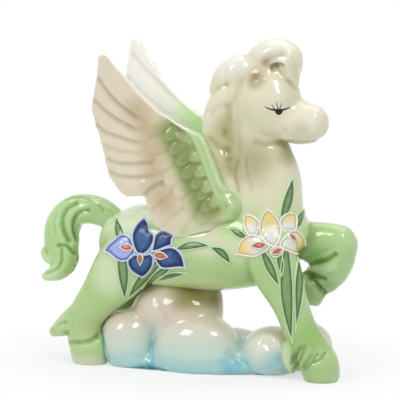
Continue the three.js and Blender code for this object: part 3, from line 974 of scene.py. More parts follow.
@dataclass(frozen=True)
class Horse:
    """The cast body with its head, legs, mane, forelock and ears, sponged into one skin.

    Attributes:
        grain: the size of the skin's faces, in millimetres.
        coarse: the same for the body before the small forms are added.
        sponged: how many times the coarse body, the skin and its joins are softened.
        split: the height at which the skin is parted into body and head.
        dimples: the middle of the left ear's dimple, and how far it is rubbed, the same on both sides.
        torso: the first of the castings, each the sections of a loft, or a middle and half-sizes.
        tufts: the locks behind the fetlocks.
        paired: balls on both sides in which joins are sponged until they vanish, in millimetres.
        single: the same for balls on one side or in the middle.
        strokes: the tool's strokes on the legs.
        head_strokes: its strokes on the head and neck, which the far side gets too.
    """

    LIMBS = ("muzzle", "right_foreleg", "right_hind_leg", "left_hind_leg", "left_forearm", "left_cannon")

    grain: float = 0.62
    coarse: float = 1.1
    sponged: tuple[int, int, int] = (22, 7, 90)
    split: float = 88.0
    dimples: tuple[Place, float] = ((36.4, 11, 151), 9)
    torso: Sections = (
        (-44, 0, 62, 14, 13), (-36, 0, 61, 18.5, 18), (-22, 0, 60, 20.5, 20.5), (-4, 0, 59.5, 21, 21),
        (14, 0, 61, 21, 21.5), (30, 0, 66, 21, 23), (42, 0, 71, 18.5, 20), (47.5, 0, 74, 12.5, 14),
    )
    neck: Sections = (
        (33, 0, 74, 18, 23), (36, 0, 87, 16.5, 21.5), (38, 0, 98, 14.5, 18), (36.5, 0, 108, 13, 15.5),
        (35, 0, 118, 12, 13.5), (34.5, 0, 128, 12, 13.5), (32.5, 0, 138, 11.5, 12.5), (32, 0, 147, 9.5, 10),
    )
    skull: tuple[Place, Place] = ((39, 0, 137), (17, 15, 20))
    muzzle: Sections = (
        (40, 0, 133, 14, 15.5), (47, 0, 131, 12, 12.8), (54, 0, 129.2, 10, 10.8), (59, 0, 128.3, 9.2, 9.9),
        (62.8, 0, 128.2, 8.4, 9.3),
    )
    chin: Sections = (
        (42, 0, 125, 10, 7.5), (48, 0, 122.6, 8, 4.8), (56, 0, 120.2, 6.6, 3.4), (62.6, 0, 120.9, 5.2, 3),
    )
    right_foreleg: Sections = (
        (42, -11, 66, 10, 15), (49.5, -12.2, 51, 9.3, 12.5), (56, -13, 38, 8, 9.5),
        (60.8, -13.6, 27, 7.5, 8.8), (66.2, -14, 17, 8.4, 9.8), (71.5, -14.2, 9.5, 9, 10.2),
        (73, -14.2, 4.5, 9, 9.8), (73, -14.2, 1, 8.2, 9), (73, -14.2, -2.5, 6, 6.6),
    )
    right_hind_leg: Sections = (
        (-29, -10.5, 58, 10.5, 16), (-38, -12.5, 45, 9.5, 14), (-47, -13.2, 33.5, 8.5, 10.5),
        (-53.5, -13.4, 24, 7.8, 9.4), (-54.5, -13.2, 14.5, 8.2, 9.2), (-52.3, -13, 8.5, 9.3, 10.3),
        (-51.8, -13, 4, 9, 9.9), (-51.4, -13, 0.8, 8, 8.8), (-51.2, -13, -2.5, 6, 6.6),
    )
    left_hind_leg: Sections = (
        (-29, 10.5, 58, 10.5, 16), (-35, 12.5, 44, 9.5, 13), (-40, 13.2, 32, 8.5, 10),
        (-43.5, 13.4, 22, 7.8, 9.2), (-44, 13.2, 14, 8.2, 9.2), (-43, 13, 8.5, 9.3, 10.3),
        (-43, 13, 4, 9, 9.9), (-43, 13, 0.8, 8, 8.8), (-43, 13, -2.5, 6, 6.6),
    )
    left_forearm: Sections = (
        (40, 9, 68, 9, 12), (55, 10.5, 65.8, 8.2, 10.2), (66, 11, 66, 8.2, 9.5), (73.5, 11, 66, 8, 9),
    )
    left_cannon: Sections = (
        (74, 11, 65.5, 8, 8.6), (71, 11, 58, 8, 9.8), (68.2, 11, 51.5, 7.8, 9.2), (65, 11, 46.5, 7.2, 7.6),
    )
    left_calf: tuple[Place, Place] = ((64, 11, 53.5), (9, 7.2, 5.8))
    left_hoof: Sections = (
        (63, 11, 47, 6.8, 7), (58, 11, 42.6, 8, 8.6), (54.5, 11, 38, 8.2, 9),
    )
    tufts: tuple[Sections, ...] = (
        ((61, -16, 24, 3, 3), (58.2, -17, 16, 4.6, 4.8), (57.6, -17, 9, 3.6, 3.8),
            (58.4, -16.5, 4.6, 1.6, 1.6)),
        ((-54, -13.5, 26, 6, 8), (-60.5, -13.6, 21.5, 5.6, 6.6), (-66, -13.6, 17.6, 4.6, 5.2),
            (-71.4, -13.6, 14.4, 2.2, 2.8)),
        ((-44, 13.5, 26, 6, 8), (-50, 13.6, 21.5, 5.6, 6.6), (-55.5, 13.6, 17.6, 4.6, 5.2),
            (-60.9, 13.6, 14.4, 2.2, 2.8)),
    )
    forelock: Sections = (
        (31, 0, 152, 8, 6.5), (36.5, 0, 159, 8.5, 8), (43.5, 0, 162, 8.5, 7.8), (49.6, 0, 160, 8, 7.6),
        (51.6, 0, 156, 7.2, 5.4), (52.4, -0.5, 152, 5.6, 3.6), (54, -1, 147.6, 2.4, 1.6),
    )
    brow: tuple[Place, Place] = ((38, 0, 152.5), (9.5, 9, 7))
    mane: tuple[Sections, ...] = (
        ((34, 0, 152, 8, 7), (25, -1, 152.5, 9, 8), (18, -3, 148, 8, 7.5), (14, -5, 142.5, 4.5, 5)),
        (
            (24, -4, 146, 6, 7), (17, -6, 136, 6.5, 7.5), (13.5, -7.5, 124, 6, 7), (16.5, -9.5, 112, 5, 6),
            (21, -11, 101, 4.5, 5), (25.5, -12.4, 91, 4, 4.5),
        ),
        (
            (27, -5, 140, 5, 6), (22.5, -5, 128, 5.5, 6), (22, -6, 116, 5.5, 6), (24.5, -8, 104, 5.5, 6),
            (29, -10.5, 92, 3, 3.5),
        ),
        ((24, 3, 146, 7, 7), (17, 4, 134, 7, 7.5), (14.5, 4, 120, 7, 7), (17, 5, 106, 6, 6),
            (21, 6, 95, 4, 4)),
    )
    ear: Sections = ((36.8, -5, 146.6, 6, 6), (36.6, -8, 148.8, 5.6, 5.6),
        (36.4, -10.6, 150.6, 4.6, 4.6))
    paired: tuple[tuple[Place, float], ...] = (
        ((31, 8, 156), 8), ((30, 10, 146), 9), ((25, 9, 128), 8), ((25, 10, 115), 8), ((49, 6, 154), 5),
        ((30, 10, 134), 9), ((31, 10, 122), 10), ((32, 11, 108), 10), ((34, 12, 94), 9),
    )
    single: tuple[tuple[Place, float], ...] = (
        ((47, 0, 131), 15), ((37, 0, 149), 14), ((40, 0, 121), 11), ((66, 11, 60), 9), ((-59, -13.5, 22), 9),
        ((-48, 13.5, 22), 9),
    )
    strokes: tuple[Stroke, ...] = (
        Stroke(((65, 342), (80, 342.6), (90, 340.5), (99, 335.5)), 1.9, 1.3),
        Stroke(((57.5, 325.5), (61, 323.5), (65, 322.5)), 2.0, 1.0),
        Stroke(((53, 330.5), (60, 331), (68, 333)), 2.2, 0.5),
        Stroke(((292.5, 364), (295, 356), (300.5, 348)), 2.2, 1.0),
        Stroke(((305, 346), (302, 355), (297, 364), (293, 371)), 1.1, 0.9),
        Stroke(((306, 265.5), (316, 262.5), (326, 260), (335, 255)), 2.2, 1.7),
        Stroke(((304, 272), (313, 275), (324, 279.4)), 2.0, 1.5),
        Stroke(((309, 277), (315, 283), (321, 290), (328, 297)), 2.4, 1.7),
        Stroke(((312, 268), (324, 270), (334, 268)), 3.4, -0.7),
        Stroke(((303, 368), (307, 361.5), (312, 356)), 1.3, 0.8),
        Stroke(((305, 370), (312, 362.5), (318, 355)), 1.2, 0.8),
        Stroke(((314, 363.5), (320, 360), (326, 353)), 1.3, 0.8),
    )
    head_strokes: tuple[Stroke, ...] = (
        Stroke(((254, 76),), 5.4, 1.1),
        Stroke(((288, 140.8), (300, 141.6), (311, 141.6), (319, 139.4)), 1.1, 0.75),
        Stroke(((228.4, 104), (229, 118), (229.4, 132), (229.8, 146), (230, 158)), 3.6, 0.5),
        Stroke(((211, 113), (218, 108), (224, 106)), 3.6, 0.7),
        Stroke(((210, 140), (217, 146), (226, 150)), 3.8, 1.0),
        Stroke(((225, 72), (226.4, 84), (227, 98)), 2.6, 0.3),
        Stroke(((279, 99),), 7.0, -0.8),
        Stroke(((273, 67.5), (277.5, 65.5), (281, 66)), 2.4, 2.0),
        Stroke(((266, 62), (273, 57.5), (281, 55)), 4.4, 1.5),
        Stroke(((293, 58), (296, 68), (297, 82)), 1.1, 0.35),
        Stroke(((289, 62), (292, 70), (294.4, 80)), 1.1, 0.4),
        Stroke(((256, 142.6), (268, 144.4), (280, 143)), 3.0, 0.6),
        Stroke(((285, 130.5),), 3.2, 0.35),
        Stroke(((238, 160), (236, 176), (239, 192)), 1.2, 0.35),
        Stroke(((246, 158), (247, 172), (252, 190)), 1.2, 0.3),
        Stroke(((219, 66), (214, 78), (212, 90)), 1.8, 0.3),
    )

    def clay(self) -> bpy.types.Object:
        """Lutes the castings together, sponges the joins and adds the small forms.

        Returns:
            The skin.
        """
        masses = [Bench.loft("torso_clay", self.torso, domes=(0.5, 1)), Bench.loft("neck_clay", self.neck)]
        masses.append(Bench.blob("skull_clay", *self.skull))
        for limb in self.LIMBS:
            masses.append(Bench.loft(f"{limb}_clay", getattr(self, limb)))
        masses.append(Bench.loft("left_hoof_clay", self.left_hoof, domes=(1, 0.25)))
        masses.append(Bench.blob("left_calf_clay", *self.left_calf))
        body = Bench.luted("body_clay", masses, self.coarse)
        first, second, joins = self.sponged
        Skin(body).soften(first)

        small = [Bench.loft(f"tuft_{i}_clay", tuft, sides=16) for i, tuft in enumerate(self.tufts)]
        small += [Bench.loft(f"lock_{i}_clay", lock, sides=20) for i, lock in enumerate(self.mane)]
        small += [Bench.loft("forelock_clay", self.forelock), Bench.blob("brow_clay", *self.brow)]
        ear = Bench.loft("ear_clay", self.ear, sides=20, domes=(1, 0.5))
        small += [Bench.loft("chin_clay", self.chin), ear, Bench.mirrored(ear, "left_ear_clay")]
        skin = Bench.luted("pegasus_clay", [body, *small], self.grain)
        clay = Skin(skin)
        clay.soften(second)
        pairs = [((x, side * y, z), reach) for (x, y, z), reach in self.paired for side in (-1, 1)]
        worn = np.sum([clay.within(*ball) for ball in (*pairs, *self.single)], axis=0)
        clay.soften(joins, np.minimum(worn, 1), shrink=True)
        return skin

    def work(self, skin_object: bpy.types.Object) -> None:
        """Tools the creases in, sponges them and grinds the feet flat.

        Args:
            skin_object: the skin.
        """
        skin = Skin(skin_object)
        tool(skin, self.strokes)
        tool(skin, self.head_strokes, both_sides=True)
        skin.soften(2)
        (x, y, z), reach = self.dimples
        for side in (-1, 1):
            skin.soften(24, skin.within((x, side * y, z), reach), shrink=True)
        Bench.cut_flat(skin_object)
        Skin(skin_object).pool_glaze()

    def parted(self, body: bpy.types.Object) -> tuple[bpy.types.Object, bpy.types.Object]:
        """Parts the skin into body and head, with no seam in its shading.

        Args:
            body: the whole skin, which becomes the body.

        Returns:
            The body and the head.
        """
        facing = Skin(body).normals.astype(np.float32).ravel()
        body.data.attributes.new("facing", "FLOAT_VECTOR", "POINT").data.foreach_set("vector", facing)
        Bench.hold(body)
        bpy.ops.object.duplicate()
        head = bpy.context.object
        cut = {"plane_co": (0, 0, self.split * MM), "plane_no": (0, 0, 1), "use_fill": True}
        for obj, name, above in ((body, "pegasus_body", False), (head, "pegasus_head", True)):
            obj.name = obj.data.name = name
            with Bench.editing(obj):
                bpy.ops.mesh.bisect(**cut, clear_inner=above, clear_outer=not above)
            facing = np.empty(len(obj.data.vertices) * 3)
            obj.data.attributes["facing"].data.foreach_get("vector", facing)
            facing = facing.reshape(-1, 3)
            facing /= np.maximum(np.linalg.norm(facing, axis=1), 1e-9)[:, None]
            obj.data.normals_split_custom_set_from_vertices(facing.tolist())
            obj.data.attributes.remove(obj.data.attributes["facing"])
        return body, head


@dataclass(frozen=True)
class Covert:
    """A short feather that lies over others: a low dome that ends in a step.

    Attributes:
        root: the mark where it grows from.
        tip: the mark where it ends.
        half: half its width, in marks.
        rise: how far its end stands out, in millimetres.
    """

    root: Mark
    tip: Mark
    half: float
    rise: float

    OVERLAP, LENGTH = 1.24, 0.56  # how far it reaches to its sides, and half its length, as shares
    ROOT_SHARE, HEIGHT = 0.2, 0.8  # how high its root is, and how high its tip is, as shares of its rise
    STEP = 3.2  # how wide the step at its edge is, in marks

    def heights(self, marks: np.ndarray) -> np.ndarray:
        """How far it stands out at each mark, in millimetres.

        Args:
            marks: rows of (across, down).

        Returns:
            The heights.
        """
        root, tip = np.array(self.root), np.array(self.tip)
        length = np.linalg.norm(tip - root)
        ahead = (tip - root) / length
        along = (marks - root) @ ahead / length
        aside = (marks - root) @ np.array([-ahead[1], ahead[0]]) / (self.OVERLAP * self.half)
        reach = np.hypot((along - 0.5) / self.LENGTH, aside)
        slope = self.ROOT_SHARE + (1 - self.ROOT_SHARE) * np.clip(along, 0, 1)
        return self.HEIGHT * self.rise * slope * smoothstep((1 - reach) * self.half / self.STEP)


@dataclass(frozen=True)
class Crease:
    """The line along which one feather's edge lies on the next.

    Attributes:
        line: its marks, from the wing's edge inwards.
        deep: how deep it is, in millimetres.
        over: how far the upper feather rolls down to it, in marks.
        under: how far the lower one slopes away from it.
    """

    line: tuple[Mark, ...]
    deep: float
    over: float = 3.2
    under: float = 9.0

    BEGIN, END = 0.12, 0.3  # the shares of its length over which it deepens and fades

    def heights(self, marks: np.ndarray) -> np.ndarray:
        """The cut at each mark, in millimetres, 0 or less.

        Args:
            marks: rows of (across, down).

        Returns:
            The heights.
        """
        line = spline(np.array(self.line), 6 * len(self.line))
        nearest, side, share = np.full(len(marks), FAR), np.zeros(len(marks)), np.zeros(len(marks))
        for i, along, off in stretches(marks, line):
            step = line[i + 1] - line[i]
            apart = np.linalg.norm(off, axis=1)
            closer = apart < nearest
            nearest = np.where(closer, apart, nearest)
            side = np.where(closer, step[0] * off[:, 1] - step[1] * off[:, 0], side)
            share = np.where(closer, (i + along) / (len(line) - 1), share)
        wide = np.where(side > 0, self.under, self.over)
        fade = smoothstep((share + 0.05) / self.BEGIN) * smoothstep((1 - share) / self.END)
        return -self.deep * fade * (1 - smoothstep(nearest / wide))


@dataclass(frozen=True)
class Wings:
    """Both wings: a leaning plate each, with feathers and an arm modelled on its faces.

    Attributes:
        grain: the size of the skin's faces, in millimetres.
        lean: heights, and how far from the body's middle the arm lies there.
        splay: heights, and how much further out the plate lies for its distance behind the arm.
        outline: the plate's edge, as marks.
        thick: half the plate's thickness.
        flight: the creases between the flight feathers.
        hidden: the creases on the inner face, as seen on the far wing.
        rows: the coverts, outermost first.
        arm: (across, down, half-width) along the leading edge.
        muscle: how far the arm stands out, in millimetres.
        root: the sections that seat it on the shoulder and flank.
        neck: the line along which it leans against the neck, and how much thicker it is there.
        seat: how far its lower front edge sinks into the shoulder.
        groove: the tool's stroke down the arm.
        outer: where colour is brushed on its outer face: attribute, line, core, reach and strength.
        inner: the line and reach of the green on the inner face.
    """

    EDGE, THIN = 12, 0.6  # how far in from its edge the plate gets thinner, in marks, and to what share
    CORNER, SOFT, SEAT = (205, 184), 18, 11  # where the seat starts, how softly, and how wide it is
    ROUND = 0.85  # how round the arm is
    FLAT, FROM, OVER = 0.75, 190, 26  # how much the arm flattens, from which mark down, and over how many

    grain: float = 0.46
    lean: tuple[tuple[float, float], ...] = ((60, 18.5), (88, 17.6), (105, 14.8), (122, 12.5), (160, 12.5))
    splay: tuple[tuple[float, float], ...] = ((60, 0.03), (85, 0.05), (115, 0.16), (160, 0.22))
    outline: tuple[Mark, ...] = (
        (102.5, 53.2), (107.6, 55.6), (113.5, 64.2), (120, 71.6), (126, 78), (132.6, 86.6), (140.4, 94.6),
        (150.2, 104.2), (160, 112), (170, 118.6), (184, 126.6), (193, 130.4), (202, 134.6), (208.6, 143),
            (213.6, 156),
        (218.6, 169), (223.6, 182), (229, 188), (236, 193), (242, 200), (244, 208), (242, 216), (238, 223),
        (230, 226.6), (220, 228.6), (210, 230.8), (200, 232.8), (186, 237), (177, 237.6), (168, 232.6),
            (160, 229.4),
        (153, 223), (149.6, 214), (147, 205), (144.6, 197.2), (139, 196), (132, 196.8), (125, 195.4),
            (119, 190.2),
        (113.6, 182), (109, 175.6), (107.6, 168.4), (105.4, 162), (104.2, 154.4), (101, 143.6), (98.4, 133.6),
        (95, 126), (94.6, 120), (92, 111), (91.4, 102.6), (93.6, 94), (94.8, 84), (96.6, 74), (97.6, 63),
            (98.6, 56.4),
    )
    thick: float = 2.0
    flight: tuple[Crease, ...] = (
        Crease(((95.6, 75.2), (102.4, 85.8), (110.2, 95.8), (119.1, 104.7), (128, 111.3), (137, 117.6),
            (146, 121.5)), 1.25),
        Crease(((92, 99), (99.1, 105.8), (108, 113.6), (116.9, 119.7), (125.8, 124.7), (134.7, 129.1),
            (146, 132)), 1.15),
        Crease(((94.4, 123.4), (102.4, 130.8), (110.2, 134.7), (119.1, 137.4), (130.2, 141.3), (139.1, 143),
            (152, 145.2)), 1.0),
        Crease(((101, 145), (112, 149.4), (124, 152), (137, 152.8), (148, 153)), 0.45, under=6),
        Crease(((104.6, 158.6), (115.8, 162.6), (124.7, 164.1), (135.8, 164.1), (148, 162.6),
            (162, 161)), 0.8, under=7),
        Crease(((108, 171.6), (114.7, 174.7), (123.6, 176.9), (135.8, 177.4), (148, 176.3),
            (162, 173)), 0.85, under=7),
        Crease(((143, 196.6), (148, 190.4), (154.7, 185.8), (163.6, 181.9),
            (174, 178)), 0.9, over=3, under=8),
        Crease(((150.4, 212), (160, 203), (170, 194.4), (180, 188)), 0.4, over=4, under=8),
        Crease(((157.6, 231), (170, 219.4), (183, 208), (192, 200)), 0.4, over=4, under=8),
        Crease(((178.6, 238.6), (187, 225), (196, 214.6), (202, 208)), 0.4, over=4, under=8),
    )
    hidden: tuple[Crease, ...] = (
        Crease(((131, 52), (140, 64), (150, 75), (165, 90), (180, 104), (196, 116)), 0.6, over=3.4, under=9),
        Crease(((124.6, 74), (140, 91), (160, 109), (180, 121)), 0.6, over=4, under=9),
        Crease(((124, 100), (140, 112), (160, 124), (178, 134)), 0.5, over=4, under=9),
        Crease(((132, 134), (150, 140), (172, 146)), 0.4, over=4, under=9),
        Crease(((138, 160), (156, 162), (176, 160)), 0.4, over=4, under=9),
    )
    rows: tuple[Covert, ...] = (
        Covert((170, 121), (145, 131.5), 7.6, 0.75), Covert((172, 138), (146, 151.5), 7.8, 0.8),
        Covert((176, 154), (153, 168.5), 7.8, 0.8), Covert((184, 168), (164, 186), 7.6, 0.85),
        Covert((192, 180), (174, 197), 7.4, 0.95), Covert((200, 192), (185, 210.5), 7.2, 0.95),
        Covert((208, 206), (199.6, 223.5), 6.8, 0.95), Covert((183, 127), (163, 141), 6.6, 1.5),
        Covert((186, 141), (169, 155), 6.6, 1.5), Covert((192, 151), (177, 166.5), 6.6, 1.6),
        Covert((197, 163), (182.6, 180.5), 6.6, 1.6), Covert((203, 175), (191.6, 190), 6.4, 1.7),
        Covert((208, 186), (198, 201.5), 6.2, 1.7), Covert((213, 197), (203, 213.5), 6, 1.8),
        Covert((199, 143.5), (173.6, 132.6), 5.8, 2.3), Covert((207, 150), (188.6, 161.5), 6.2, 2.4),
        Covert((210, 163), (194.8, 178.5), 6.2, 2.5), Covert((215, 178), (201.8, 194.5), 6, 2.6),
        Covert((221, 192), (211, 209.5), 6, 2.6),
    )
    arm: tuple[tuple[float, float, float], ...] = (
        (174, 120.5, 3.4), (186, 127.6, 5), (195.6, 136, 6.4), (202, 147, 7), (207, 159, 7.2),
        (212, 172, 7.4), (218, 186, 8), (225, 198, 10), (231, 208, 12), (232, 218, 12),
    )
    muscle: float = 2.5
    root: Sections = ((31, -15.5, 84, 5, 9), (14, -15.5, 79, 4, 8), (-4, -15.5, 75, 3, 6))
    neck: tuple[tuple[Mark, ...], float] = (((206, 150), (213, 165), (221, 182), (229, 192)), 2.8)
    seat: float = 4.2
    groove: Stroke = Stroke(((196, 136), (203, 151), (209, 166), (214, 181), (220, 195),
        (226, 206)), 2.2, 0.6)
    outer: tuple[tuple[str, tuple[Mark, ...], float, float, float], ...] = (
        ("cover", ((174, 132), (184, 152), (195, 176), (208, 206)), 8, 27, 1.0),
        ("shade", ((170, 131), (180, 153), (190, 178), (203, 207)), 1, 13, 1.0),
        ("flight_shade", ((136, 110), (149, 132), (152, 160), (156, 186), (166, 204)), 1, 22, 0.8),
    )
    inner: tuple[tuple[Mark, ...], float] = (((194, 114), (204, 130), (208, 160)), 30)

    def out(self, places: np.ndarray) -> np.ndarray:
        """How far out from the middle of the body a wing lies at some places, in metres."""
        x, _, z = places.T / MM
        return (np.interp(z, *zip(*self.lean)) + np.interp(z, *zip(*self.splay)) * np.maximum(2 - x, 0)) * MM

    def spots(self, marks: np.ndarray) -> np.ndarray:
        """The places in the middle of the right wing's plate under marks, in metres.

        Args:
            marks: rows of (across, down).

        Returns:
            Rows of (x, y, z).
        """
        places = Sight.plane(marks)
        for _ in range(40):
            short = -self.out(places) - places[:, 1]
            places += short[:, None] / Sight.TOWARDS[1] * Sight.TOWARDS
        return places

    def plate(self) -> bpy.types.Object:
        """Cuts the plate out, and lutes the root to it.

        Returns:
            The plate as one skin.
        """
        ring = closed_line(self.outline)
        sheet, marks = Bench.sheet("wing_plate", ring.min(axis=0) - 1, ring.max(axis=0) + 1, 1.0)
        sheet.data.vertices.foreach_set("co", self.spots(marks).ravel())
        Bench.trim(sheet, inside(marks, ring) > 0)
        Bench.apply(sheet, "SOLIDIFY", thickness=2 * self.thick * MM, offset=0)
        root = Bench.loft("wing_root", self.root, sides=20)
        return Bench.luted("feathered_right_wing", [sheet, root], self.grain)

    @staticmethod
    def faces(way: np.ndarray, start: float = -0.1, span: float = 0.7) -> np.ndarray:
        """0 where a part of the normals is below the start, and 1 where it is a span above."""
        return smoothstep((way - start) / span)

    def arm_heights(self, marks: np.ndarray) -> np.ndarray:
        """How far the arm stands out at each mark, in millimetres, and 0 beside it.

        Args:
            marks: rows of (across, down).

        Returns:
            The heights.
        """
        best = np.zeros(len(marks))
        for apart, half in brush(marks, spline(np.array(self.arm), 5 * len(self.arm))):
            best = np.maximum(best, np.clip(1 - (apart / half) ** 2, 0, 1) ** self.ROUND)
        return self.muscle * best * (1 - self.FLAT * smoothstep((marks[:, 1] - self.FROM) / self.OVER))

    def clay(self) -> bpy.types.Object:
        """Models the right wing and stores the marks of its paint.

        Returns:
            The wing.
        """
        wing = self.plate()
        skin = Skin(wing)
        skin.soften(6)
        facing = skin.normals[:, 1]
        outward, inward = self.faces(-facing), self.faces(facing)
        marks, far_marks = Sight.marks(skin.co), Sight.marks(skin.co * (1, -1, 1))
        middle = -self.out(skin.co)
        core = np.column_stack([skin.co[:, 0], middle, skin.co[:, 2]])
        depth = inside(Sight.marks(core), closed_line(self.outline))
        thin = self.THIN + (1 - self.THIN) * smoothstep(depth / self.EDGE)
        coverts = np.max([covert.heights(marks) for covert in self.rows], axis=0)
        creases = np.sum([crease.heights(marks) for crease in self.flight], axis=0)
        relief = np.maximum(coverts, self.arm_heights(marks)) + creases * (1 - smoothstep(coverts / 0.5))
        lower = np.sum([crease.heights(far_marks) for crease in self.hidden], axis=0)
        seat = smoothstep(1 - depth / self.SEAT)
        for values, start in zip(marks.T, self.CORNER):
            seat = seat * smoothstep((values - start) / self.SOFT)
        line, thicker = self.neck
        inner = lower + thicker * band(marks, np.array(line, float), 4, 13)
        out = outward * relief - inward * inner - self.seat * seat
        skin.co[:, 1] = middle + (skin.co[:, 1] - middle) * thin - out * MM
        skin.write()
        skin.soften(2)
        skin.soften(14, 1 - smoothstep(depth / 5)[:, None])
        tool(skin, (self.groove,))
        skin.soften(4)
        skin.pool_glaze(fine=0.2, broad=0.8, lift=0.6)
        for name, line, core, reach, strength in self.outer:
            skin.store(name, strength * outward * band(marks, np.array(line, float), core, reach))
        skin.store("arm", (1 - inward) * band(marks, np.array(self.arm)[2:, :2], 6, 13))
        skin.store("inner", self.faces(facing, -0.45, 0.5))
        line, reach = self.inner
        skin.store("inner_root", inward * band(far_marks, np.array(line, float), 2, reach))
        return wing


@dataclass(frozen=True)
class Tail:
    """The tail's main lock, with the curl on its outer side."""

    grain: float = 0.5
    locks: tuple[Sections, ...] = (
        (
            (-43, 0, 70, 5.5, 6), (-50, 0, 74, 7, 7), (-58, 0, 75.5, 8, 7.4), (-66, 0, 73.5, 8.5, 8),
            (-71.5, 0, 66.5, 8.5, 9), (-72.5, 0, 57, 8, 9), (-71.5, 0, 48.5, 7, 7.6), (-75, 0, 42.5, 5, 5),
            (-81, 0, 39.5, 2, 2.4),
        ),
        ((-72, -3, 55, 5, 6), (-77, -3, 50, 3.6, 4), (-80, -3, 52.5, 2.6, 2.8)),
    )
    strokes: tuple[Stroke, ...] = (
        Stroke(((66, 200), (75, 197), (86, 198), (96, 203), (104, 211)), 1.4, 0.6),
        Stroke(((75, 203), (66, 209), (62, 219), (64, 231), (70, 241)), 2.8, 1.5),
        Stroke(((88, 210.5), (80, 212.5), (75, 219), (74, 229), (77, 240)), 2.0, 1.2),
        Stroke(((59, 246), (68, 247), (75, 254)), 2.0, 1.2),
        Stroke(((76, 250), (78, 260), (76, 268), (71, 275)), 1.6, 0.8),
        Stroke(((62, 250), (62, 261), (57, 269), (46, 273)), 1.5, 0.9),
        Stroke(((57, 214), (54, 222), (56, 234)), 1.2, 0.35),
    )

    def clay(self) -> bpy.types.Object:
        """Rolls out the locks and combs them.

        Returns:
            The tail.
        """
        locks = [Bench.loft(f"tail_lock_{i}", lock) for i, lock in enumerate(self.locks)]
        tail = Bench.luted("combed_tail", locks, self.grain)
        skin = Skin(tail)
        skin.soften(6)
        tool(skin, self.strokes, both_sides=True)
        skin.soften(2)
        skin.pool_glaze()
        return tail


@dataclass(frozen=True)
class Cloud:
    """The cloud under the belly, cast in one piece and open underneath."""

    grain: float = 0.75
    lobes: tuple[tuple[Place, Place], ...] = (
        ((-33, -8, 14), (14.5, 14.2, 14.2)), ((-33, -8, 9), (14.4, 14.2, 9.6)),
        ((4, -9.5, 14.2), (22.5, 15.2, 14.4)), ((4, -9.5, 8.4), (23.4, 15.2, 9.4)),
        ((43.5, -5, 7.6), (16.2, 14.2, 8.6)), ((43.5, -5, 12), (16, 14.2, 12.2)),
        ((26, -8, 3.4), (12, 10, 4.4)), ((56, 5, 13), (15, 13.6, 13.0)), ((-22, 9, 14), (17, 14.6, 14.2)),
        ((16, 9.5, 9), (20, 15, 9.6)), ((40, 10, 9.4), (14, 13.2, 10)), ((-9, -2, 28), (24, 17, 15)),
        ((5, 0, 33), (9, 10, 12)), ((6, 0, 5), (46, 15.6, 8.8)), ((-15, -8, 3), (11, 11, 5)),
        ((26, -7, 2), (13, 11.4, 3.6)), ((-31, -8, 2.4), (13.2, 13.2, 5.4)),
        ((4, -9.5, 2.4), (22.4, 14.2, 5.4)), ((19, -9, 2), (10, 12.4, 4.6)),
    )
    recess: tuple[Place, Place] = ((6, 0, 0), (29, 8.5, 12))
    strokes: tuple[Stroke, ...] = (
        Stroke(((268, 344), (273, 352), (279, 358)), 5.0, 1.8),
        Stroke(((101, 333), (104, 346), (108, 358)), 2.6, 0.8),
        Stroke(((155, 338), (151.6, 348), (151, 360)), 2.6, 0.8),
        Stroke(((228, 353), (237, 359), (246, 365)), 2.4, 0.8),
        Stroke(((166, 318), (160, 309), (156, 300)), 2.4, 0.7),
    )

    def clay(self) -> bpy.types.Object:
        """Presses the lobes together, sponges them, and hollows the underside.

        Returns:
            The cloud.
        """
        lobes = [Bench.blob(f"lobe_{i}", *lobe) for i, lobe in enumerate(self.lobes)]
        cloud = Bench.luted("cloud", lobes, self.grain)
        skin = Skin(cloud)
        skin.soften(36, shrink=True)
        tool(skin, self.strokes)
        skin.soften(10)
        Bench.cut_flat(cloud)
        hollow = Bench.blob("recess", *self.recess)
        Bench.apply(cloud, "BOOLEAN", object=hollow, operation="DIFFERENCE", solver="EXACT")
        bpy.data.objects.remove(hollow)

        skin = Skin(cloud)
        pool = skin.pool_glaze(fine=0.3, broad=1.7, lift=1.0)
        x, _, z = skin.co.T / MM
        low = 1 - smoothstep((z - 19) / 9)
        skin.store("low_cleft", np.minimum(1.4 * pool, 1) * low * (1 - 0.6 * smoothstep((z - 7) / 9)))
        skin.store("high_cleft", pool * (1 - low))
        skin.store("shaded", smoothstep((z - 27) / 9) * smoothstep((x + 14) / 14))
        return cloud


# Flowers, leaves and eyes, laid on the fired body


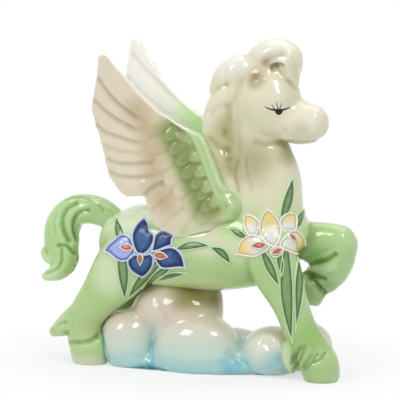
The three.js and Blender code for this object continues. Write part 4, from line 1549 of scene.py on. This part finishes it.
@dataclass(frozen=True)
class Enamel:
    """An enamel fill inside a raised line of slip.

    Attributes:
        name: the material's name.
        fill: its colour in the middle of a petal.
        edge: its colour where it is deepest, along the slip.
        slip: the colour of the slip line.
        tip: the colour that it turns to towards the tip, if any.
        slot: its material slot.
        turn: where along the petal that begins and ends.
        shine: how much of a full gloss it has.
        bleed: how far in from the slip its edge colour reaches, in millimetres.
    """

    name: str
    fill: str
    edge: str
    slip: str
    slot: Slot
    tip: str = ""
    turn: tuple[float, float] = (0.55, 0.95)
    shine: float = 1.0
    bleed: float = 1.2

    WASH, RIPPLE = 260, 420  # waves to the metre in its colour and on its surface
    RELIEF = (0.25, 0.0003)  # how strongly that surface shows, and how high it is in metres
    ROUGH, CLEAR = 0.28, 0.05  # how rough the enamel and the glaze over it are

    def material(self) -> bpy.types.Material:
        """Builds the material.

        Returns:
            The material.
        """
        shader = Shader(bpy.data.materials.new(self.name))
        along, pool, rim = (shader.attribute(name) for name in ("along", "pool", "rim"))
        wash = shader.noise(self.WASH, 3)
        colour: object = paint(self.fill)
        if self.tip:
            turned = (along + pool * 0.3 + (wash - 0.5) * 0.4).smooth(*self.turn)
            colour = shader.mix(turned, colour, paint(self.tip))
        shade = (pool * 1.25 + (wash - 0.5) * 1.0).clamped()
        colour = shader.mix(shade * 0.95, colour, paint(self.edge))
        colour = shader.mix(wash.smooth(0.55, 0.8) * 0.15, colour, paint(self.slip))
        colour = shader.mix(rim, colour, paint(self.slip))
        clear = {"Coat_Roughness": self.CLEAR, "Coat_IOR": 1.5}
        clear |= {"Coat_Weight": self.shine, "Specular_IOR_Level": 0.5 * self.shine}
        rough = wash * 0.1 + self.ROUGH
        return shader.glazed(colour, rough, shader.noise(self.RIPPLE, 1), self.RELIEF, **clear)


COBALT = Enamel(
    "cobalt_enamel", "#34689A", "#0A1350", "#D2E0F6", Slot.BLUE,
    tip="#163478", turn=(0.2, 1.1), shine=0.45, bleed=2.6,
)
LAVENDER = Enamel("lavender_enamel", "#A9B6EC", "#38429A", "#D4E0F8", Slot.LAVENDER, shine=0.8, bleed=1.6)
CREAM = Enamel(
    "cream_enamel", "#ECEEE8", "#B4B294", "#FAF7EA", Slot.CREAM, tip="#F9DA6C", turn=(0.15, 0.95), bleed=1.0
)
ORANGE = Enamel("orange_enamel", "#DE7430", "#A83C18", "#F6EAE0", Slot.ORANGE)
BLADE = Enamel("leaf_enamel", "#7CA25A", "#1F4A2A", "#C2E6AC", Slot.LEAF, shine=0.8, bleed=1.5)


@dataclass(frozen=True)
class Sprig:
    """A petal or leaf: slip trailed round an outline on the body, filled with enamel.

    Attributes:
        name: its node in the solids.
        outline: the middle of the slip line, as marks in order; a corner is given twice.
        enamel: its finish.
        foot: where it grows from, and `tip` where it points to, for the enamel's shading.
        lift: how far it stands on what lies under it, in millimetres.
        rim: the width of the slip line.
    """

    name: str
    outline: tuple[Mark, ...]
    enamel: Enamel
    foot: Mark
    tip: Mark
    lift: float = 0.0
    rim: float = 0.85


def blade(name: str, foot: Mark, tip: Mark, wide: float, full: float = 0.5, bend: float = 0.0) -> Sprig:
    """A leaf from its foot to its tip.

    Args:
        name: its node.
        foot: where it grows from.
        tip: where it ends.
        wide: its full width, in marks.
        full: where along it that is.
        bend: how far it bows to its left, in marks.

    Returns:
        The leaf.
    """
    start, end = np.array(foot), np.array(tip)
    ahead = (end - start) / np.linalg.norm(end - start)
    aside = np.array([ahead[1], -ahead[0]])
    peak = math.log(0.5) / math.log(full)
    sides = []
    for way in (-1, 1):
        row = []
        for t in np.linspace(0, 1, 9)[1:-1]:
            half = wide / 2 * math.sin(math.pi * t**peak)
            row.append(start + (end - start) * t + aside * (way * half + 4 * bend * t * (1 - t)))
        sides.append(row)
    outline = [start, start, *sides[0], end, end, *sides[1][::-1]]
    return Sprig(name, tuple((float(x), float(y)) for x, y in outline), BLADE, foot, tip, rim=0.7)


def bud(name: str, foot: Mark, tip: Mark, wide: float) -> Sprig:
    """A beard: a bead of orange enamel with white slip round it."""
    return Sprig(name, blade(name, foot, tip, wide, 0.45).outline, ORANGE, foot, tip, lift=0.75, rim=0.5)


class Layer:
    """Thin forms that are laid on a fired skin, as seen by the viewer."""

    REACH = 10.0  # how far a form may follow the skin away from its own middle, in millimetres
    SPONGE = 3  # how many times the lie of a form is evened out
    WALL, FILM = 0.9, 0.3  # how thick a sprig and a film of paint are, in millimetres
    PETAL, LEAF = 0.4, -0.1  # how far a petal and a leaf are lifted, in millimetres
    RISE, BEAD, CROWN = 1.2, 0.5, 0.35  # how high the edge, the slip line and the filled middle rise
    SKIRT, SHOULDER, DOME = 0.55, 0.4, 2.5  # how wide the foot, the edge's rise and the middle's rise are
    MARGIN = 2.5  # how far a sprig's grid reaches past its outline, in marks
    WEAVE, FINE_WEAVE = 0.42, 0.18  # the size of a grid's faces under a sprig and under paint, in marks

    def __init__(self, skin: bpy.types.Object) -> None:
        """Takes the skin that the forms are laid on.

        Args:
            skin: the skin.
        """
        self.surface = Bench.surface(skin)
        self.normals = Skin(skin).normals
        self.faces = [tuple(p.vertices) for p in skin.data.polygons]

    def lay(
        self, obj: bpy.types.Object, marks: np.ndarray, heights: np.ndarray, kept: np.ndarray
    ) -> np.ndarray:
        """Lays a grid on the skin, and trims it.

        Args:
            obj: the grid.
            marks: the mark of each vertex.
            heights: how far each stands off the skin, in millimetres.
            kept: which vertices belong to the form.

        Returns:
            Which vertices are left, by their number in the grid.
        """
        starts = Sight.plane(marks)
        depths = np.full(len(marks), np.nan)
        normals = np.zeros((len(marks), 3))
        for i, start in enumerate(starts):
            hit, _, face, reach = self.surface.ray_cast(Vector(start + Sight.TOWARDS), Vector(-Sight.TOWARDS))
            if hit is not None:
                depths[i] = 1.0 - reach
                normals[i] = self.normals[list(self.faces[face])].mean(axis=0)
        with np.errstate(invalid="ignore"):
            near = np.abs(depths - np.nanmedian(depths[kept])) < self.REACH * MM
        columns = int(np.sum(np.abs(marks[:, 1] - marks[0, 1]) < 1e-9))
        values = np.column_stack([np.where(near, depths, 0.0), normals * near[:, None], near])
        values = values.reshape(-1, columns, 5)
        for _ in range(self.SPONGE):
            for axis in (0, 1):
                values = (values + np.roll(values, 1, axis) + np.roll(values, -1, axis)) / 3
        values = values.reshape(-1, 5)
        depths = values[:, 0] / np.maximum(values[:, 4], 1e-9)
        normals = values[:, 1:4] / np.maximum(np.linalg.norm(values[:, 1:4], axis=1), 1e-9)[:, None]
        places = starts + depths[:, None] * Sight.TOWARDS + normals * heights[:, None] * MM
        laid = kept & near
        obj.data.vertices.foreach_set("co", places.ravel())
        Bench.trim(obj, laid)
        return np.flatnonzero(laid)

    def sprig(self, sprig: Sprig) -> bpy.types.Object:
        """Trails and fills one petal or leaf.

        Args:
            sprig: the petal or leaf.

        Returns:
            Its piece.
        """
        ring = closed_line(sprig.outline)
        low, high = ring.min(axis=0) - self.MARGIN, ring.max(axis=0) + self.MARGIN
        obj, marks = Bench.sheet(f"enamelled_{sprig.name}", low, high, self.WEAVE)
        depth = inside(marks, ring) / Sight.MARKS_PER_MM
        half = sprig.rim / 2
        lift = sprig.lift + (self.LEAF if sprig.enamel is BLADE else self.PETAL)
        base = (self.RISE + lift) * smoothstep((depth + half + 0.25) / self.SHOULDER) - self.WALL
        bead = self.BEAD * np.exp(-((depth / (half * 0.8)) ** 2))
        crown = self.CROWN * smoothstep((depth - half) / self.DOME)
        left = self.lay(obj, marks, base + bead + crown, depth > -half - self.SKIRT)
        foot, ahead = np.array(sprig.foot), np.array(sprig.tip) - np.array(sprig.foot)
        skin = Skin(obj)
        skin.store("along", np.clip((marks - foot) @ ahead / (ahead @ ahead), 0, 1)[left])
        skin.store("rim", (1 - smoothstep((depth - half * 0.75) / (half * 0.55)))[left])
        skin.store("pool", np.clip(1 - (depth - half) / sprig.enamel.bleed, 0, 1)[left])
        Bench.apply(obj, "SOLIDIFY", thickness=self.WALL * MM, offset=-1)
        return obj

    def brushed(self, name: str, strokes: tuple[tuple[Place, ...], ...]) -> bpy.types.Object:
        """Paints brush strokes.

        Args:
            name: the new object's name.
            strokes: each stroke's (across, down, half-width) in marks.

        Returns:
            The painted film.
        """
        lines = [spline(np.array(stroke), 8 * len(stroke)) for stroke in strokes]
        every = np.vstack(lines)
        margin = 1 + every[:, 2].max()
        low, high = every[:, :2].min(axis=0) - margin, every[:, :2].max(axis=0) + margin
        obj, marks = Bench.sheet(name, low, high, self.FINE_WEAVE)
        depth = np.full(len(marks), -FAR)
        for line in lines:
            for apart, half in brush(marks, line):
                depth = np.maximum(depth, half - apart)
        depth /= Sight.MARKS_PER_MM
        heights = 0.33 * smoothstep((depth + 0.16) / 0.2) - 0.25
        self.lay(obj, marks, heights, depth > -0.3)
        Bench.apply(obj, "SOLIDIFY", thickness=self.FILM * MM, offset=-1)
        return obj


BLUE_IRIS = (
    Sprig(
        "blue_iris_right_standard",
        ((152, 251.5), (152, 251.5), (153.6, 244.9), (155.5, 236), (160.5, 231.6), (166, 231.6),
            (174.8, 235.6), (174.8, 235.6), (172.3, 240.4), (171.5, 245.2), (165.7, 247.2), (158.5, 250.2)),
        COBALT, (153, 250), (173, 237),
    ),
    Sprig(
        "blue_iris_centre_standard",
        ((144.8, 218.6), (144.8, 218.6), (148.6, 224), (150.3, 231), (154.2, 235), (153.9, 242.2),
            (149.2, 250.2), (143, 254), (137.3, 252), (133.9, 244.9), (132.5, 235.8), (134.8, 228.5),
            (139.4, 222.4)),
        COBALT, (143, 253), (145, 219),
    ),
    Sprig(
        "blue_iris_left_fall",
        ((105, 252), (105, 252), (108.5, 246), (114.5, 240.6), (120.3, 235.6), (125.5, 235),
            (130.5, 237.8), (132.8, 242), (135, 248.5), (134.4, 254), (128, 259.8), (121.2, 261),
            (114.8, 257.6), (109.6, 253.3)),
        LAVENDER, (134, 248), (105, 251),
    ),
    Sprig(
        "blue_iris_lower_fall",
        ((142.2, 276.8), (142.2, 276.8), (136.5, 274.3), (131.9, 271), (128.3, 264.9), (128.4, 259.5),
            (132.6, 255), (137.4, 254.6), (145.4, 254.6), (150.3, 253.6), (153.6, 257), (153.2, 265),
            (148.8, 272)),
        COBALT, (141.5, 256), (142, 276),
    ),
    Sprig(
        "blue_iris_right_fall",
        ((164.5, 248.4), (172.1, 247.4), (178.5, 250.4), (183, 256.7), (185.5, 267), (185.5, 267),
            (177.5, 266.9), (165.7, 267.8), (160.3, 265.8), (156.6, 260.6), (155, 256), (157.5, 251.4)),
        COBALT, (157, 255), (184, 264),
    ),
    bud("blue_iris_left_beard", (134, 248.2), (120.5, 247.2), 6.4),
    bud("blue_iris_lower_beard", (141.4, 252.8), (140.6, 264.2), 5.4),
    bud("blue_iris_right_beard", (154.8, 254), (168.5, 256.4), 6.4),
)
IVORY_IRIS = (
    Sprig(
        "ivory_iris_left_standard",
        ((245, 215.6), (251, 215.2), (257, 219), (259.6, 223.5), (258, 229), (256.6, 234.4),
            (249.3, 234.6), (245.4, 229.2), (244.2, 222.5)),
        CREAM, (253, 234), (246, 216),
    ),
    Sprig(
        "ivory_iris_right_standard",
        ((280.8, 218.5), (286, 213.8), (291.8, 212.8), (295.8, 215.8), (296.4, 223.3), (295, 229.4),
            (289.3, 231), (283.6, 230.6), (280.4, 225)),
        CREAM, (287, 231), (292, 213),
    ),
    Sprig(
        "ivory_iris_centre_standard",
        ((267.3, 209.3), (267.3, 209.3), (273.5, 214.2), (278.6, 221.7), (280.8, 230), (279, 240),
            (275.2, 246), (269.3, 244.4), (262.6, 237.6), (259.8, 230), (260.4, 221.7), (263.3, 214.2)),
        CREAM, (273, 246), (267.5, 211),
    ),
    Sprig(
        "ivory_iris_left_fall",
        ((236.6, 253.6), (236.6, 253.6), (239.6, 244.2), (243.5, 239), (251, 235.6), (257.7, 236.5),
            (262.5, 238.8), (267.9, 244.2), (269, 247.7), (262.7, 252.7), (255.2, 256), (246.8, 255.4)),
        CREAM, (266, 246), (237, 252),
    ),
    Sprig(
        "ivory_iris_right_fall",
        ((280, 244.4), (281.8, 240), (286, 236.5), (290, 231.9), (296.8, 231), (302, 235.8),
            (304.2, 242.5), (302.9, 248.5), (297.7, 254), (291.8, 252.7), (286, 250.2), (281, 248.5)),
        CREAM, (284, 242), (304, 246),
    ),
    Sprig(
        "ivory_iris_lower_fall",
        ((270.5, 250.5), (274, 247.4), (279, 246.6), (283, 248.6), (282, 253.4), (277.5, 256.6),
            (272.5, 256)),
        CREAM, (276, 247), (277, 256),
    ),
    bud("ivory_iris_left_beard", (267, 244.8), (252, 246.4), 6.2),
    bud("ivory_iris_lower_beard", (282, 249), (271.6, 253.8), 5.6),
    bud("ivory_iris_right_beard", (287.6, 235), (294.8, 241.6), 4.6),
)
LEAVES = (
    blade("rump_leaf", (122, 245), (115.8, 216), 9, full=0.4),
    blade("thigh_leaf", (124.6, 299.6), (119.6, 240), 11, bend=-1),
    blade("stifle_leaf", (127, 299), (170, 254), 10.4, bend=3),
    blade("groin_leaf", (140, 292), (180, 260), 8, bend=2),
    blade("belly_leaf", (153, 282), (187, 273.6), 5.6, bend=2),
    blade("flank_leaf", (172, 252), (211, 246.4), 8, bend=3.6),
    blade("girth_leaf", (209.6, 247), (231, 264.5), 8.4, bend=3.4),
    blade("elbow_leaf", (249, 240.4), (228.6, 229.2), 7, bend=-1),
    blade("throat_leaf", (279, 227), (292.6, 177), 9.4, bend=-1.6),
    blade("chest_leaf", (297.4, 230), (303.8, 208.6), 7, bend=1),
    blade("forearm_leaf", (279.6, 287), (259.6, 245), 9),
    blade("forearm_bud_leaf", (282, 276), (278.4, 248), 7),
    blade("shin_leaf", (292.4, 342), (287, 234), 12.6, bend=3.2),
    blade("shin_edge_leaf", (295.8, 333), (299.6, 251), 8.6, full=0.58, bend=-1),
)
LASHES = (
    ((265.2, 106.8, 0.4), (268.6, 108.6, 0.6), (273.6, 109.8, 0.9), (279, 110.2, 1.1), (284.4, 109.4, 0.8),
        (289.8, 107.4, 0.4)),
    ((277.4, 111.2, 2.4), (278.8, 112, 2.9), (280.2, 111.2, 2.4)),
    ((271.8, 104.6, 0.22), (273.2, 107, 0.34), (275, 109.4, 0.42)),
    ((276.4, 102.3, 0.22), (277, 105.2, 0.34), (278, 108.4, 0.42)),
    ((281.4, 103, 0.22), (280.8, 105.6, 0.34), (279.8, 108.4, 0.42)),
)


# Studio


@dataclass(frozen=True)
class Softbox:
    """A soft studio lamp.

    Attributes:
        place: where it hangs, in metres.
        size: its width and height.
        power: its strength, in watts.
    """

    place: Place
    size: tuple[float, float]
    power: float


@dataclass(frozen=True)
class Studio:
    """The table, the lamps and the camera.

    Attributes:
        lamps: the softboxes.
        aim: where they point, in metres.
        fill: how strong the light of the room is.
        tint: its colour.
        table: the size of the table top, in metres.
        pale: the colour of the table top.
        glow: how white the table looks under the object and far from it.
        shade: how far from the middle that begins, in millimetres.
        distance: how far the camera stands from the object, in metres.
    """

    lamps: tuple[Softbox, ...] = (
        Softbox((-0.45, -0.75, 0.85), (0.36, 0.46), 3.6),
        Softbox((0.6, -0.5, 1.0), (0.3, 0.4), 3.4),
        Softbox((0.0, 0.25, 1.1), (1.2, 0.9), 4.5),
    )
    aim: Place = (0.0, 0.0, 0.08)
    fill: float = 0.42
    tint: tuple[float, ...] = (0.93, 0.96, 1.0, 1.0)
    table: float = 4.0
    pale: tuple[float, ...] = (0.9, 0.9, 0.9, 1.0)
    glow: tuple[float, float] = (0.62, 1.0)
    shade: Place = (150, 130, 130)
    distance: float = 1.2

    def camera(self) -> None:
        """Stands the camera at the photograph's angle."""
        middle = Sight.plane((200, 200))[0]
        data = bpy.data.cameras.new("camera")
        data.type = "ORTHO"
        data.ortho_scale = 400 / Sight.MARKS_PER_MM * MM
        data.clip_end = 20
        camera = bpy.data.objects.new("camera", data)
        camera.location = middle + Sight.TOWARDS * self.distance
        axes = np.column_stack([Sight.ACROSS, Sight.UP, Sight.TOWARDS])
        camera.rotation_euler = Matrix(axes.tolist()).to_euler()
        bpy.context.collection.objects.link(camera)
        bpy.context.scene.camera = camera

    def light(self) -> None:
        """Hangs the lamps and lights the room."""
        for i, lamp in enumerate(self.lamps):
            data = bpy.data.lights.new(f"softbox_{i}", "AREA")
            data.shape = "RECTANGLE"
            data.size, data.size_y = lamp.size
            data.energy = lamp.power
            box = bpy.data.objects.new(f"softbox_{i}", data)
            box.location = lamp.place
            box.rotation_euler = (Vector(self.aim) - Vector(lamp.place)).to_track_quat("-Z", "Y").to_euler()
            box.visible_camera = False
            bpy.context.collection.objects.link(box)
        world = bpy.data.worlds.new("room")
        bpy.context.scene.world = world
        room = Shader(world)
        dim = room.node("ShaderNodeBackground", None, {"Color": self.tint, "Strength": self.fill})
        white = room.node("ShaderNodeBackground", None, {"Color": WHITE, "Strength": 1.0})
        room.end(room.blended(room.seen(), dim, white), "World")

    def lay_table(self) -> None:
        """Lays the pale table top, which runs out into the white of the room."""
        Bench.clear()
        bpy.ops.mesh.primitive_plane_add(size=self.table)
        top = bpy.context.object
        top.name = "table_top"
        shader = Shader(bpy.data.materials.new("table_white"))
        body = shader.node("ShaderNodeBsdfDiffuse", None, {"Color": self.pale})
        glow = shader.node("ShaderNodeEmission", None, {"Color": WHITE, "Strength": 1.0})
        near, far = self.glow
        share = shader.seen() * (far - shader.ball((0, 0, 0), self.shade, 0.3) * (far - near))
        shader.end(shader.blended(share, body, glow))
        top.data.materials.append(shader.owner)
        bpy.context.scene.view_settings.view_transform = "Standard"

    def build(self) -> None:
        """Sets the studio up."""
        self.camera()
        self.light()
        self.lay_table()
        log.info("studio: %d lamps", len(self.lamps))


# Colours of the castings

BODY_GLAZE = Glaze(
    "body_glaze",
    "#B0D083",
    (
        Spray((38, 0, 138), (50, 46, 76), "#E7E0C1", 1.0, 0.6),
        Spray((37, -14, 131), (15, 12, 13), "#DFDBB2", 0.7, 0.2, both=True),
        Spray((50, 0, 84), (18, 28, 26), "#E3E8BA", 0.8, 0.3),
        # Olive of the lower mane, deepened with painted shade where it hangs against the neck.
        Spray((20, -13, 114), (12, 12, 26), "#B8B070", 0.85, 0.3, both=True),
        # Painted shade in the hollow where the mane's end meets the neck.
        Spray((24, -12, 106), (7, 9, 9), "#A39C58", 0.8, 0.2, both=True),
        # Painted shade on the neck under the jaw, on both sides.
        Spray((36, 0, 109), (17, 40, 20), "#A39D5E", 0.8, 0.2),
        Spray((32, -20, 67), (15, 12, 13), "#D6E6AE", 0.85, 0.3),
        Spray((32, 20, 67), (18, 12, 15), "#D0E2AC", 0.6, 0.0),
        Spray((22, -6, 155), (16, 14, 10), "#EAE6D6", 0.8, 0.3),
        Spray((44, 0, 165), (16, 16, 9), "#EAE6D6", 0.8, 0.3),
        Spray((58, -7, 131), (13, 10, 10), "#EEE8D0", 0.7, 0.2, both=True),
        # Painted shade on the underside of the forelock's curl.
        Spray((42, -9, 158.5), (8, 7, 6), "#D6C0A2", 0.8, 0.2, both=True),
        # Painted shade in the pocket under the forelock.
        Spray((45.6, -8, 156.6), (3.4, 6, 2.6), "#8C7A4A", 0.9, 0.3, both=True),
        # Painted shade on the front of the neck under the chin.
        Spray((50.5, 0, 113), (8, 14, 12), "#9C9450", 0.9, 0.2),
        # Painted shade along the underside of the chin.
        Spray((54, 0, 118), (13, 12, 3.6), "#B5AF7A", 0.9, 0.3),
        # Painted shade where the nostril lies.
        Spray((60, -9, 126.6), (7, 5, 6), "#CDC3A0", 0.6, 0.2),
        Spray((36.4, -12, 151.4), (8, 8, 8), "#AE9A6C", 0.95, 0.2, both=True),
        # Painted shade in the middle of each ear's dimple, over the ear's tan.
        Spray((36.6, -12, 151.4), (3.4, 8, 3.4), "#8C7748", 0.8, 0.1, both=True),
        Spray((14, -22, 68), (17, 14, 12), "#E0E1BC", 0.9, 0.3),
        Spray((-32, -8, 75), (24, 24, 15), "#DCE5C2", 0.95, 0.3),
        Spray((-38, -20, 49), (15, 12, 20), "#DDE8BE", 0.8, 0.2),
        Spray((-52, -14, 1), (14, 14, 9), "#E2E2C0", 0.9, 0.4),
        Spray((-50, -14, 11), (14, 12, 4), "#A6D672", 0.7, 0.3),
        Spray((74, -14, 5), (13, 14, 12), "#98C468", 0.7, 0.4),
        Spray((0, -12, 42), (44, 22, 10), "#D0E6A4", 0.8, 0.3),
        Spray((57, -19, 11), (5.5, 7, 10), "#D4E8B8", 0.8, 0.2),
        Spray((-64, -14, 20), (11, 9, 8), "#C4E29C", 0.7, 0.3),
        Spray((70, 10, 60), (22, 14, 22), "#9FCE7C", 0.7, 0.4),
        Spray((65, 8, 42), (14, 14, 14), "#84B24E", 0.85, 0.3),
        # Painted shade and a painted reflection of the cloud on the right hind leg.
        Spray((-50, -16, 21), (10, 10, 12), "#B4C088", 0.6, 0.2),
        Spray((68, -16, 15), (14, 14, 23), "#88B84E", 0.95, 0.4),
    ),
    pooled="#AEB076",
    depth=0.9,
)
WING_GLAZE = Glaze(
    "wing_glaze",
    "#E6D8BC",
    (
        Spray((26, -20, 84), (20, 14, 22), "#D6DFB4", 0.8, 0.3),
        Spray((10, -22, 72), (24, 14, 14), "#D2D4A6", 0.8, 0.3),
    ),
    pooled="#B0A886",
    depth=0.7,
    washes=(
        ("flight_shade", "#C4AE84"),
        ("cover", "#969F4C"),
        ("shade", "#7F9340"),
        ("inner", "#FFFBF0"),
        ("inner_root", "#CFF4AE"),
        ("arm", "#ADCB82"),
    ),
)
TAIL_GLAZE = Glaze(
    "tail_glaze",
    "#B4D98A",
    (
        Spray((-60, -6, 80), (24, 16, 12), "#A2C670", 0.7, 0.3),
        Spray((-78, -4, 44), (10, 12, 12), "#D2EEB0", 0.8, 0.3),
    ),
    pooled="#74B046",
    depth=1.0,
    bared="#E2F4CC",
    bareness=0.6,
)
CLOUD_GLAZE = Glaze(
    "cloud_glaze",
    "#E2D2BC",
    (
        Spray((4, 0, 0), (120, 80, 31), "#CFE6DA", 1.0, 0.35),
        Spray((4, 0, -6), (120, 80, 20), "#9CD8DA", 0.95, 0.3),
        Spray((44, -14, 16), (15, 11, 11), "#F0EAD8", 0.8, 0.2),
        Spray((50, -20, 9), (10, 10, 9), "#74C6D4", 0.7, 0.2),
        Spray((28, -20, 4), (12, 12, 8), "#70BED2", 0.9, 0.3),
        Spray((25, -22, 3), (4, 8, 4), "#5CA4DC", 0.5, 0.2),
        Spray((-44.6, -15, 9), (4.6, 10, 15), "#2F93AA", 0.95, 0.3),
        Spray((-17.4, -16, 3), (4.5, 12, 6), "#44AAC0", 0.7, 0.2),
    ),
    depth=0.0,
    bared="#F2E8DC",
    bareness=0.3,
    washes=(("shaded", "#8F8244"), ("high_cleft", "#A8966A"), ("low_cleft", "#9CCED2")),
)
EYE_PAINT = Enamel("eye_paint", "#150D08", "#0C0705", "#1E140E", Slot.IVORY, shine=0.4)


class Kiln:
    """Glazes and fires each piece, and stands it for its solids."""

    def __init__(self) -> None:
        """Starts with no finish mixed."""
        self.mixed: dict[Glaze | Enamel, bpy.types.Material] = {}

    def fire(self, piece: bpy.types.Object, finish: Glaze | Enamel, slot: Slot, *nodes: str) -> None:
        """Gives a piece its finish and its place in the assembly.

        Args:
            piece: the piece.
            finish: its finish.
            slot: not used.
            nodes: the solids that it stands for.
        """
        if finish not in self.mixed:
            self.mixed[finish] = finish.material()
        piece.data.materials.clear()
        piece.data.materials.append(self.mixed[finish])
        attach(piece, ROOT)
        if nodes:
            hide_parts(*nodes)
        log.info("%s: %d faces, for %s", piece.name, len(piece.data.polygons), ", ".join(nodes) or "itself")


def main() -> None:
    """Builds the figurine and its studio."""
    logging.basicConfig(level=logging.INFO, format="%(message)s")
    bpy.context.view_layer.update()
    kiln = Kiln()

    horse = Horse()
    skin = horse.clay()
    horse.work(skin)
    layer = Layer(skin)
    eye = layer.brushed("right_eye", LASHES)
    sprigs = [(sprig, layer.sprig(sprig)) for sprig in (*BLUE_IRIS, *IVORY_IRIS, *LEAVES)]
    body, head = horse.parted(skin)
    legs = ("right_foreleg", "left_foreleg", "right_hind_leg", "left_hind_leg")
    kiln.fire(body, BODY_GLAZE, Slot.GREEN, "torso", *legs)
    kiln.fire(head, BODY_GLAZE, Slot.IVORY, "neck", "head", "mane", "forelock", "right_ear", "left_ear")
    for sprig, piece in sprigs:
        kiln.fire(piece, sprig.enamel, sprig.enamel.slot, sprig.name)
    kiln.fire(eye, EYE_PAINT, Slot.IVORY)
    kiln.fire(Bench.mirrored(eye, "left_eye"), EYE_PAINT, Slot.IVORY)

    wing = Wings().clay()
    kiln.fire(Bench.mirrored(wing, "feathered_left_wing"), WING_GLAZE, Slot.WING, "left_wing")
    kiln.fire(wing, WING_GLAZE, Slot.WING, "right_wing")
    tail = Tail().clay()
    kiln.fire(tail, TAIL_GLAZE, Slot.GREEN, "tail")
    cloud = Cloud().clay()
    kiln.fire(cloud, CLOUD_GLAZE, Slot.CLOUD, "cloud_base")

    Studio().build()


if __name__ == "__main__":
    main()
